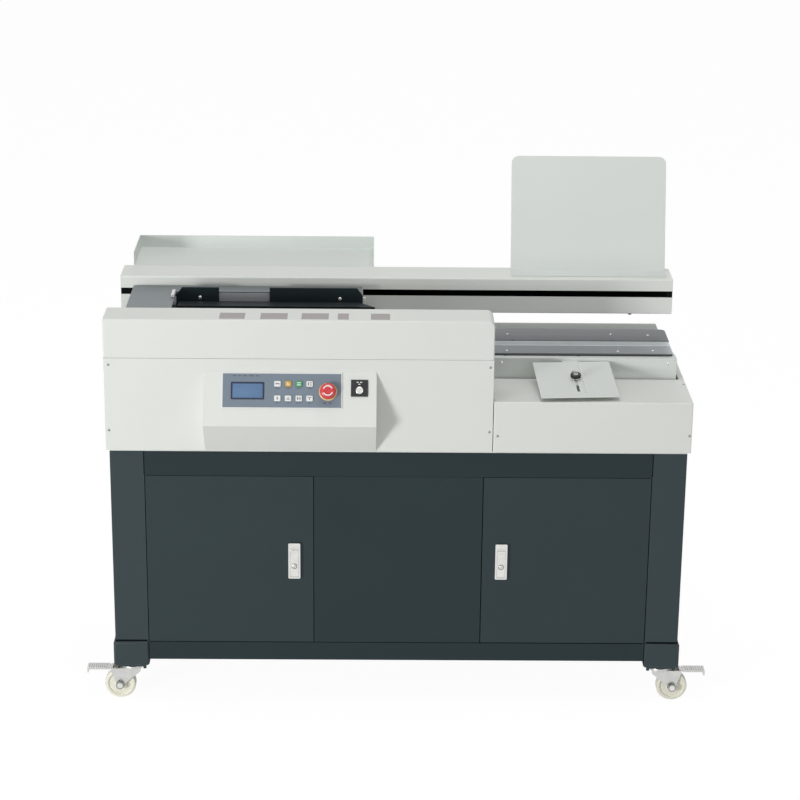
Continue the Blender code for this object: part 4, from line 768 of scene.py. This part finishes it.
# Turned profiles, each from the side of its wheel, the end of its axle or the top of its fork
WHEEL_SEAL = [(0.0060, 0.0004), (0.0105, 0.0004), (0.0112, -0.0006), (0.0060, -0.0006)]
AXLE_HEAD = [(0, 0.0022), (0.0030, 0.0020), (0.0060, 0.0004), (0.0085, 0.0002), (0.0085, -0.0012),
             (0, -0.0012)]
AXLE_NUT = [(0, 0.0030), (0.0058, 0.0030), (0.0066, 0.0022), (0.0066, -0.0012), (0, -0.0012)]
AXLE_WASHER = [(0.0066, 0.0006), (0.0095, 0.0006), (0.0095, -0.0010), (0.0066, -0.0010)]
SWIVEL_RACE = [(0.0205, 0), (0.0262, -0.0012), (0.0268, -0.0040), (0.0240, -0.0064), (0.0205, -0.0064)]
PEDAL_RIBS = 9
RIB_PITCH = 0.0052
RIB_SHARE = 0.86
RIB_FROM_TIP = 0.0042


def make_castor(name, side):
    wheel, fork = name + "_wheel", name + "_fork"
    wheel_low, wheel_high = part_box(wheel)
    middle = (wheel_low + wheel_high) / 2
    radius = (wheel_high.z - wheel_low.z) / 2
    half = (wheel_high.y - wheel_low.y) / 2
    front = Matrix.Translation(middle) @ Matrix.Rotation(pi / 2, 4, "X")
    back = front @ Matrix.Rotation(pi, 4, "X")
    hub, rim = WHEEL_HUB, radius - RIM_WIDTH
    profile = [(WHEEL_BORE, half), (hub, half), (hub + 0.001, half - 0.0028),
               (rim - 0.002, half - 0.0034), (rim, half - 0.0006), (rim + 0.0012, half),
               (radius - 0.0045, half), (radius - 0.0015, half - 0.0012), (radius, half - 0.0045)]
    whole = profile + [(r, -h) for r, h in reversed(profile)]
    piece(wheel + "_body", turned(whole, WHEEL_STEPS, True), NYLON, BODY_OF[wheel], front, [wheel])
    for word, at in (("back", back), ("front", front)):
        piece("%s_seal_%s" % (wheel, word), turned(WHEEL_SEAL, 40, True, half), RUBBER,
              BODY_OF[wheel], at)
    soft_solid(fork, ZINC, 0.0006)
    fork_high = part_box(fork)[1]
    body = BODY_OF[fork]
    end = fork_high.y - middle.y
    piece(name + "_axle_head", turned(AXLE_HEAD, 32, lift=end), CHROME, body, front)
    piece(name + "_axle_nut", turned(AXLE_NUT, 6, lift=end), CHROME, body, back)
    piece(name + "_axle_washer", turned(AXLE_WASHER, 32, True, end), FIXING, body, front)
    race = turned(SWIVEL_RACE, 40, True, fork_high.z - RACE_DOWN)
    piece(name + "_swivel_race", race, ZINC, body,
          Matrix.Translation((middle.x - side * SWIVEL_OFFSET, middle.y, 0)))
    if name + "_pedal" in BODY_OF:
        make_pedal(name + "_pedal", side)


def make_pedal(pedal, side):
    soft_solid(pedal, ZINC, 0.0004)
    low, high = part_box(pedal)
    half = (high.y - low.y) * RIB_SHARE / 2
    rib = block((-0.0011, -half, -0.0006), (0.0011, half, 0.0011), 0.0007)
    ribs = ROW.grow(rib, ZINC, Count=PEDAL_RIBS, Step=(side * RIB_PITCH, 0, 0))
    tip = high.x if side > 0 else low.x
    start = tip - side * (RIB_FROM_TIP + RIB_PITCH * (PEDAL_RIBS - 1))
    piece(pedal + "_ribs", ribs, ZINC, BODY_OF[pedal],
          Matrix.Translation((start, (low.y + high.y) / 2, high.z - SINK)))


def make_castors():
    for side, word in ((-1, "left"), (1, "right")):
        for depth in ("front", "rear"):
            make_castor("castor_%s_%s" % (depth, word), side)


# Casing

SCREW_R = 0.0034
CASING_SCREWS = [(-0.6757, 0.8614), (-0.6783, 0.7009), (0.2105, 0.8602), (0.2113, 0.7016),
                 (0.2308, 0.6918), (0.6814, 0.6947)]
STRIP_SCREW = (0.6805, -0.1532)
STRIP_Y = (-0.2815, -0.2335)
STRIP_T = 0.00025
STRIPS_X = [(-0.4185, -0.3595), (-0.3235, -0.2608), (-0.2283, -0.1655), (-0.1445, -0.1189),
            (-0.0677, -0.0235)]
SIDE_SCREWS_Y = (-0.26, -0.03)
SIDE_SCREWS_Z = (0.672, 0.757)
REAR_SCREW_IN = 0.02
REAR_SCREWS_X = (-0.66, -0.44, -0.22, 0.0, 0.20, 0.24, 0.46, 0.66)


def make_casing_details():
    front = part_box("lid")[0].y
    places = [((x, front + SINK, z), (0, -1, 0)) for x, z in CASING_SCREWS]
    places.append(((*STRIP_SCREW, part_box("right_cover")[1].z - SINK), (0, 0, 1)))
    side_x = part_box("rear_cover")[0].x
    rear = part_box("rear_cover")[1].y
    for x, facing in ((side_x + SINK, -1), (-side_x - SINK, 1)):
        places += [((x, y, z), (facing, 0, 0)) for y in (*SIDE_SCREWS_Y, rear - REAR_SCREW_IN)
                   for z in SIDE_SCREWS_Z]
    places += [((x, rear - SINK, SIDE_SCREWS_Z[0]), (0, 1, 0)) for x in REAR_SCREWS_X]
    screws("casing_screws", places, "frame", SCREW_R, 0.0013, FIXING)
    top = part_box("lid")[1].z
    for number, (left, right) in enumerate(STRIPS_X, 1):
        strip = block((left, STRIP_Y[0], top - SINK), (right, STRIP_Y[1], top + STRIP_T), 0.0001, 1)
        piece("lid_blank_strip_%d" % number, strip, BLANK_STRIP, "lid")


# Controls

BOX_TOP = 0.848
BOX_FALL = 0.115
BOX_OUT = 0.060
PLATE_TOP = 0.0023
FILM_T = 0.00018
# The film stops this far inside the plate's edge; the white rim left round it is a painted edge highlight.
FILM_IN = 0.0022
PLATE_CENTRE = (-0.2728, -0.0458)
PLATE_SIZE = (0.2788, 0.0838)
DISPLAY_CENTRE = (-0.3525, -0.0463)
DISPLAY_SIZE = (0.0770, 0.0406)
DISPLAY_TOP = 0.0038
DISPLAY_FLOOR = -0.0070
BEZEL_W = 0.0030
PANE_BACK = PLATE_TOP - 0.0006
KEY_FIRST = (-0.2831, -0.0302)
KEY_PITCH = (0.0248, -0.0341)
KEY_SIZE = (0.0150, 0.0133)
KEY_TOP = 0.0053
KEY_FOOT = -0.0040
STOP_AT = (-0.1662, -0.0480)
KEY_SWITCH_AT = (-0.0933, -0.0448)
PANEL = (Matrix.Translation((0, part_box("lid")[0].y, BOX_TOP))
         @ Matrix.Rotation(atan2(BOX_FALL, BOX_OUT), 4, "X"))


def centred(centre, size, low, high, edge=0.0):
    x, y = centre
    w, h = size
    return block((x - w / 2, y - h / 2, low), (x + w / 2, y + h / 2, high), edge)


def key_places():
    return [(KEY_FIRST[0] + column * KEY_PITCH[0], KEY_FIRST[1] + row * KEY_PITCH[1])
            for row in range(2) for column in range(4)]


def make_film():
    size = [value - 2 * FILM_IN for value in PLATE_SIZE]
    film = centred(PLATE_CENTRE, size, PLATE_TOP - SINK, PLATE_TOP + FILM_T)
    film = cut(film, centred(DISPLAY_CENTRE, [s + 0.0004 for s in DISPLAY_SIZE], -0.01, 0.01))
    holes = bmesh.new()
    for x, y in key_places():
        w, h = KEY_SIZE
        add_block(holes, (x - w / 2 - 0.0003, y - h / 2 - 0.0003, -0.01),
                  (x + w / 2 + 0.0003, y + h / 2 + 0.0003, 0.01))
    film = cut(film, holes)
    stop_hole = turned([(0, 0.01), (0.0114, 0.01), (0.0114, -0.01), (0, -0.01)], 32)
    bmesh.ops.translate(stop_hole, vec=(*STOP_AT, 0), verts=stop_hole.verts)
    piece("control_film", cut(film, stop_hole), FILM, "frame", PANEL)


def make_display():
    x, y = DISPLAY_SIZE[0] / 2, DISPLAY_SIZE[1] / 2
    outer = slab(rounded_outline((-x, -y), (x, y), 0.0012), DISPLAY_FLOOR, DISPLAY_TOP, 0.0005)
    window = [value - 2 * BEZEL_W for value in DISPLAY_SIZE]
    pane = [value - 2 * SINK for value in window]
    at = PANEL @ Matrix.Translation((*DISPLAY_CENTRE, 0))
    bezel = cut(outer, centred((0, 0), window, PANE_BACK, 0.02))
    piece("display_bezel", bezel, BEZEL, "frame", at, ["display"], even=True)
    glass = centred((0, 0), pane, PANE_BACK, PLATE_TOP + 0.0003, 0.0002)
    piece("display_glass", glass, SCREEN, "frame", at)


# Each key's sign as bars, in shares of the key's width and height from its middle
KEY_SIGNS = [
    [(-0.30, -0.08, 0.30, 0.08)],
    [(-0.22, -0.28, -0.08, 0.28), (0.02, -0.28, 0.16, 0.10)],
    [(-0.30, 0.10, 0.30, 0.26), (-0.30, -0.26, 0.30, -0.10)],
    [(-0.28, -0.26, -0.14, 0.26), (0.02, -0.26, 0.28, -0.12), (0.02, 0.12, 0.28, 0.26)],
    [(-0.10, -0.22, 0.10, -0.04), (-0.10, 0.04, 0.10, 0.22)],
    [(-0.26, -0.20, 0.26, -0.08), (-0.16, 0.02, 0.16, 0.12)],
    [(-0.26, -0.26, -0.12, 0.26), (0.12, -0.26, 0.26, 0.26), (-0.06, -0.06, 0.06, 0.06)],
    [(-0.28, 0.12, 0.28, 0.24), (-0.08, -0.24, 0.08, 0.02)],
]
SIGN_T = 0.00012


def make_keys():
    looks = {1: YELLOW, 2: GREEN}
    for number, (x, y) in enumerate(key_places()):
        body = "button_%d" % (number + 1)
        w, h = KEY_SIZE
        cap = slab(rounded_outline((-w / 2, -h / 2), (w / 2, h / 2), 0.0022), KEY_FOOT, KEY_TOP, 0.0007, 3)
        at = PANEL @ Matrix.Translation((x, y, 0))
        finish = looks.get(number, WHITE)
        piece(body + "_cap", cap, finish, body, at, [body], even=True)
        bars = [((w * a, h * b, KEY_TOP - SINK), (w * c, h * d, KEY_TOP + SIGN_T))
                for a, b, c, d in KEY_SIGNS[number]]
        piece(body + "_sign", blocks(bars), WHITE if number in looks else MARK, body, at)


TITLE_BARS = [(-0.3866, -0.0115, 0.008), (-0.3740, -0.0115, 0.006), (-0.3630, -0.0115, 0.008),
              (-0.3490, -0.0115, 0.010), (-0.3330, -0.0115, 0.006)]


def make_marks():
    """Plain dashes where the printing would be."""
    low, high = PLATE_TOP + FILM_T - SINK, PLATE_TOP + FILM_T + SIGN_T
    bars = []
    for x, y, w in TITLE_BARS:
        bars.append(((x, y - 0.0009, low), (x + w, y + 0.0009, high)))
    for number, (x, y) in enumerate(key_places()):
        w = KEY_SIZE[0] * (0.42 if number % 3 else 0.62)
        down = y - KEY_SIZE[1] / 2 - 0.0040
        bars.append(((x - w / 2, down - 0.0005, low), (x + w / 2, down + 0.0005, high)))
    for x in (-0.0070, 0.0050):
        centre = STOP_AT[0] + x
        down = STOP_AT[1] - 0.0265
        bars.append(((centre - 0.003, down - 0.0012, low), (centre + 0.003, down + 0.0012, high)))
    piece("panel_dashes", blocks(bars), MARK, "frame", PANEL)
    top = PLATE_TOP + SIGN_T
    flecks = [((x - 0.0022, KEY_SWITCH_AT[1] + y - 0.0011, PLATE_TOP - SINK),
               (x + 0.0022, KEY_SWITCH_AT[1] + y + 0.0011, top))
              for x, y in ((-0.0975, 0.0195), (-0.0895, 0.0195), (-0.0935, 0.0150))]
    piece("key_switch_dashes", blocks(flecks), WHITE, "frame", PANEL)


STOP_RING_R = 0.021
STOP_HEAD_R = 0.019
STOP_ARC_RADII = (0.0096, 0.0124)
STOP_ARCS = ((0.15, 0.85), (1.15, 1.85))


def make_stop():
    at = PANEL @ Matrix.Translation((*STOP_AT, 0))
    low = PLATE_TOP + 0.0003
    ring = turned([(0.0075, low + 0.0022), (0.0165, low + 0.0024), (0.0196, low + 0.0020),
                   (STOP_RING_R, low + 0.0008), (STOP_RING_R, low), (0.0110, low), (0.0110, -0.024),
                   (0.0075, -0.024)], 56, ring=True)
    piece("estop_ring", ring, PALE_YELLOW, "frame", at, ["estop_base"])
    foot, rim, top = 0.0095, 0.0175, 0.0215
    head = turned([(0, top - 0.0012), (0.0060, top - 0.0010), (0.0098, top - 0.0001), (0.0120, top),
                   (0.0146, top - 0.0009), (0.0172, rim + 0.0010), (0.0186, rim - 0.0010),
                   (STOP_HEAD_R, rim - 0.0035), (STOP_HEAD_R, foot + 0.0012), (0.0180, foot),
                   (0.0070, foot), (0.0070, -0.012), (0, -0.012)], 64)
    piece("estop_mushroom", head, RED, "estop_head", at, ["estop_head"])
    bands = [pointed_arc(start * pi, end * pi, top - SINK, top + SIGN_T) for start, end in STOP_ARCS]
    piece("estop_arcs", merged(*bands), WHITE, "estop_head", at)


def pointed_arc(start, end, low, high, steps=18):
    """A flat arc with a pointed end."""
    inner, outer = STOP_ARC_RADII
    middle = (inner + outer) / 2
    tip = (middle * cos(end + 0.22), middle * sin(end + 0.22))
    outer_line = arc((0, 0), outer, start, end, steps)
    return slab(arc((0, 0), inner, start, end, steps) + [tip] + outer_line[::-1], low, high)


def make_key_barrel():
    at = PANEL @ Matrix.Translation((*KEY_SWITCH_AT, 0))
    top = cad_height("key_barrel")
    face = turned([(0, top), (0.0072, top), (0.0084, top - 0.0008), (0.0088, top - 0.0024),
                   (0.0088, -0.010), (0, -0.010)], 48)
    slot = block((-0.0010, -0.0050, top - 0.003), (0.0010, 0.0050, top + 0.01))
    piece("key_barrel_turned", cut(face, slot), CHROME, "key_barrel", at, ["key_barrel"])
    ring = turned([(0.0091, PLATE_TOP + 0.0012), (0.0112, PLATE_TOP + 0.0008), (0.0120, PLATE_TOP - SINK),
                   (0.0091, PLATE_TOP - SINK)], 48, ring=True)
    piece("key_switch_ring", ring, BLACK_PLASTIC, "frame", at)


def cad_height(node):
    """How far a node on the control panel stands out of the slope."""
    place = PANEL.inverted()
    return max((place @ v.co).z for v in frame["nodes"][node].data.vertices)


def make_controls():
    make_film()
    make_display()
    make_keys()
    make_marks()
    make_stop()
    make_key_barrel()


# Beam, clamp and carriage

PAD_SCREWS = [(-0.4839, 0.9349), (-0.1434, 0.9335)]


def make_clamp_details():
    low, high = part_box("jaw_pad")
    places = [((x, low.y + SINK, z), (0, -1, 0)) for x, z in PAD_SCREWS]
    screws("jaw_pad_screws", places, "carriage", 0.0042, 0.0018)
    for word, x0, x1 in (("left", low.x - 0.0125, low.x - 0.0005), ("right", high.x + 0.0005, high.x + 0.0075)):
        tip = block((x0, low.y + 0.0008, low.z + 0.020), (x1, low.y + 0.0100, high.z - 0.0235), 0.0016)
        piece("jaw_tip_" + word, tip, WHITE, "carriage")
    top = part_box("carriage_table")[1].z
    stop = block((low.x - 0.0090, -0.034, top + SINK), (low.x - 0.0008, 0.012, top + 0.0080), 0.0016)
    piece("table_end_stop", stop, WHITE, "carriage")


BEAM_Y = 0.076
BEAM_STUD_AT = (0.574, 0.101)
BEAM_BOTTOM = 0.883
BEAM_STUD_SIZE = (0.0046, 0.0078)
SLOT_Z = (0.9255, 0.9415)
SLOT_ENDS = ((-0.6820, -0.6530), (0.6610, 0.6745))
SLOT_END_DEEP = 0.016


def make_beam():
    """The hollow beam: pale outside, its inside faces painted near-black as painted shade, with its slot closed
    at both ends by near-black blocks that paint the slot's shade.
    """
    beam = bent_sheet("beam", CASING, 0.0030)
    beam.data.materials.append(PAINTED_SHADE_BLACK.material)
    low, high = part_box("beam")
    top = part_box("cover_rack")[0].z
    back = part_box("book_tray")[0].y
    # Faces inside the beam take the near-black painted shade.
    for face in beam.data.polygons:
        centre = face.center
        within = low.x < centre.x < high.x and BEAM_Y + 0.002 < centre.y < back - 0.0015
        if within and SLOT_Z[0] - 0.0415 < centre.z < top - 0.0015:
            face.material_index = 1
    # Near-black blocks at the slot's ends paint the shade deep in the slot.
    ends = [((x0, BEAM_Y + 0.0010, SLOT_Z[0] - 0.0015), (x1, BEAM_Y + SLOT_END_DEEP, SLOT_Z[1] + 0.0015))
            for x0, x1 in SLOT_ENDS]
    piece("slot_end_blocks", blocks(ends), PAINTED_SHADE_BLACK, "frame")
    radius, height = BEAM_STUD_SIZE
    stud = turned([(0, 0), (radius, 0), (radius, -height), (radius * 0.8, -height - 0.0006),
                   (0, -height - 0.0006)], 24)
    piece("beam_stud_cap", stud, BLACK, "frame", Matrix.Translation((*BEAM_STUD_AT, BEAM_BOTTOM)))


# Milling

MOTOR_FINS = 28
CUTTER_NUT = [(0, 0.0008), (0.0040, 0.0008), (0.0046, 0.0003), (0.0046, -SINK), (0, -SINK)]


def make_mill_details():
    low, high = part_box("milling_motor")
    fin = block((-0.0012, -0.0011, low.z + 0.012), (0.0036, 0.0011, high.z - 0.022), 0.0005, 1)
    fins = RING.grow(fin, CAST, Count=MOTOR_FINS, Radius=(high.x - low.x) / 2)
    middle = (low + high) / 2
    piece("motor_fins", fins, CAST, "frame", Matrix.Translation((middle.x, middle.y, 0)))
    low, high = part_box("milling_cutter")
    middle = (low + high) / 2
    piece("cutter_nut", turned(CUTTER_NUT, 6), ZINC, "milling_cutter",
          Matrix.Translation((middle.x, middle.y, high.z)))


# Nip table

NOTCH_SIZE = (0.0062, 0.0030)
NIP_NOTCHES = [(0.2809, 0.0195), (0.5241, 0.0195)]
LIP_PEGS_X = (0.2569, 0.4326)
REAR_NIP_SCREWS = [(0.6173, 0.0680), (0.5257, 0.0743), (0.2700, 0.0710)]
FRONT_NIP_SCREWS = [(0.5306, -0.0631), (0.6163, -0.0556), (0.2620, -0.0600)]
SKIRT_SCREWS = [(0.2463, 0.8148), (0.6476, 0.8148)]
SKIRT_FRONT = -0.112
BED_DOWN = 0.0003
FRONT_STEP = 0.0008


def make_nip_details():
    table = soft_solid("nip_table", SHEET, 0.0009)
    table.data.materials.append(GREY_BED.material)
    rear_low, rear_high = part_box("rear_nip_plate")
    for face in table.data.polygons:
        level = face.normal.z > 0.9 and abs(face.center.z + BED_DOWN - rear_low.z) < 0.0005
        face.material_index = int(level and face.center.y > rear_high.y - 0.002)
    front_low, front_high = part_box("front_nip_plate")
    for name, spots, top, body, radius, height in (
            ("rear_nip_screws", REAR_NIP_SCREWS, rear_high.z, "nip_table", 0.0040, 0.0014),
            ("front_nip_screws", FRONT_NIP_SCREWS, front_high.z - FRONT_STEP, "front_nip_plate",
             0.0036, 0.0010)):
        screws(name, [((x, y, top - SINK), (0, 0, 1)) for x, y in spots], body, radius, height)
    # Black patches on the rear strip paint the shade in its notches.
    w, d = NOTCH_SIZE
    notches = [((x - w / 2, y - SINK, rear_high.z - 0.002), (x + w / 2, y + d, rear_high.z + 0.0002))
               for x, y in NIP_NOTCHES]
    piece("nip_notches", blocks(notches, 0.0003), BLACK, "nip_table")
    pegs = [((x - w / 2, front_low.y - d, front_low.z + SINK),
             (x + w / 2, front_low.y + SINK, front_low.z + d / 2)) for x in LIP_PEGS_X]
    piece("lip_pegs", blocks(pegs, 0.0005), BLACK, "front_nip_plate")
    screws("skirt_screws", [((x, SKIRT_FRONT + SINK, z), (0, -1, 0)) for x, z in SKIRT_SCREWS],
           "nip_table", 0.0036, 0.0012)


# Cover guide

GUIDE = (Matrix.Translation((0.4115, -0.1175, 0.8215))
         @ Euler((radians(11.6), 0, radians(4.0))).to_matrix().to_4x4())
SCALE_X = 0.0195
SCALE_FROM, SCALE_TO = -0.010, -0.150
SCALE_TICKS = 15
KNOB_BACK = 0.083
KNOB_RIBS = 26
KNOB_R = 0.0116
KNOB_GRIP = [(0.0052, 0.0128), (0.0100, 0.0128), (KNOB_R, 0.0118), (KNOB_R, 0.0040),
             (0.0100, 0.0030), (0.0052, 0.0030)]
KNOB_RIB = ((-0.0012, -0.0006, 0.0042), (0.0008, 0.0006, 0.0116))
KNOB_BUSH = [(0.0028, 0.0133), (0.0050, 0.0133), (0.0054, 0.0128), (0.0054, 0.0026),
             (0.0090, 0.0022), (0.0094, 0.0016), (0.0090, 0.0003), (0.0028, 0.0003)]


def make_guide_details():
    line = block((SCALE_X - 0.0005, SCALE_TO, -SINK), (SCALE_X + 0.0005, SCALE_FROM, SIGN_T))
    piece("guide_scale_line", line, WHITE, "guide_plate", GUIDE)
    pitch = (SCALE_TO - SCALE_FROM) / (SCALE_TICKS - 1)
    tick = block((0, -0.0003, -SINK), (0.0045, 0.0003, SIGN_T))
    ticks = ROW.grow(tick, MARK, Count=SCALE_TICKS, Step=(0, pitch, 0))
    piece("guide_scale_ticks", ticks, MARK, "guide_plate",
          GUIDE @ Matrix.Translation((SCALE_X - 0.0060, SCALE_FROM, 0)))
    at = GUIDE @ Matrix.Translation((0, -KNOB_BACK, 0))
    piece("guide_knob_grip", turned(KNOB_GRIP, 48, True), BLACK_PLASTIC, "guide_knob", at,
          ["guide_knob"])
    knurl = RING.grow(block(*KNOB_RIB, 0.0004, 1), BLACK_PLASTIC, Count=KNOB_RIBS, Radius=KNOB_R)
    piece("guide_knob_knurl", knurl, BLACK_PLASTIC, "guide_knob", at)
    piece("guide_knob_bush", turned(KNOB_BUSH, 40, True), CHROME, "guide_knob", at)


# Power inlet

PIN_SIZE = (0.0050, 0.0050, 0.0022)


def make_inlet_pins():
    low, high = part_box("power_inlet")
    middle = (low + high) / 2
    w, l, h = PIN_SIZE
    pins = [((middle.x + x - w / 2, low.y + 0.0025, middle.z + z - h / 2),
             (middle.x + x + w / 2, low.y + 0.0025 + l, middle.z + z + h / 2))
            for x, z in ((-0.012, -0.003), (0.0, 0.0035), (0.012, -0.003))]
    piece("inlet_pins", blocks(pins, 0.0004), ZINC, "frame")


# Light, floor and background

AMBIENT = 0.36
KEY_AT, KEY_SIZE_M, KEY_POWER = (-4.6, -5.2, 1.15), 1.4, 235.0
FILL_AT, FILL_SIZE_M, FILL_POWER = (3.6, -5.5, 2.6), 3.0, 14.0
TOP_AT, TOP_SIZE_M, TOP_POWER = (0.0, -0.3, 4.2), 2.6, 46.0
AIM = Vector((0, 0, 0.75))
FLOOR_HALF = 40.0
FLOOR_COLOUR = (0.82, 0.82, 0.82)
FLOOR_GLOW = 1.06
FLOOR_GLOW_SHARE = 0.90
PURE_WHITE = (1.0, 1.0, 1.0, 1.0)


def make_lamp(name, at, size, power):
    data = bpy.data.lights.new(name, "AREA")
    data.shape = "SQUARE"
    data.size = size
    data.energy = power
    lamp = bpy.data.objects.new(name, data)
    lamp.location = at
    lamp.rotation_euler = (AIM - Vector(at)).to_track_quat("-Z", "Y").to_euler()
    bpy.context.scene.collection.objects.link(lamp)


def seen_rays(nodes):
    """1 for what the camera, a reflection or a refraction sees, and 0 for light on the object."""
    total = nodes.node("ShaderNodeLightPath", output="Is Camera Ray")
    for label in ("Is Glossy Ray", "Is Transmission Ray"):
        total = total.sum("MAXIMUM", nodes.node("ShaderNodeLightPath", output=label))
    return total


def make_world():
    world = bpy.data.worlds.new("studio")
    world.use_nodes = True
    nodes = Nodes(world.node_tree)
    light, white = [nodes.node("ShaderNodeBackground", {}, {"Color": PURE_WHITE, "Strength": strength})
                    for strength in (AMBIENT, 1.0)]
    mix = nodes.node("ShaderNodeMixShader", {}, {0: seen_rays(nodes), 1: light, 2: white})
    nodes.node("ShaderNodeOutputWorld", {}, {"Surface": mix})
    bpy.context.scene.world = world


def make_floor():
    form = bmesh.new()
    bmesh.ops.create_grid(form, x_segments=1, y_segments=1, size=FLOOR_HALF)
    floor = temporary(form, "floor")
    material = bpy.data.materials.new("pale_floor")
    material.use_nodes = True
    nodes = Nodes(material.node_tree)
    matt = nodes.node("ShaderNodeBsdfDiffuse", {}, {"Color": paint(FLOOR_COLOUR)})
    glow = nodes.node("ShaderNodeEmission", {}, {"Color": PURE_WHITE, "Strength": FLOOR_GLOW})
    mix = nodes.node("ShaderNodeMixShader", {}, {0: seen_rays(nodes) * FLOOR_GLOW_SHARE, 1: matt, 2: glow})
    nodes.node("ShaderNodeOutputMaterial", {}, {"Surface": mix})
    floor.data.materials.append(material)


make_camera()
make_world()
make_floor()
make_lamp("key", KEY_AT, KEY_SIZE_M, KEY_POWER)
make_lamp("fill", FILL_AT, FILL_SIZE_M, FILL_POWER)
make_lamp("top", TOP_AT, TOP_SIZE_M, TOP_POWER)
make_plain_nodes()
make_cabinet()
make_lock("left")
make_lock("right")
make_back()
make_castors()
make_casing_details()
make_beam()
make_controls()
make_clamp_details()
make_mill_details()
make_nip_details()
make_guide_details()
make_inlet_pins()
bpy.context.scene.view_settings.view_transform = "Standard"
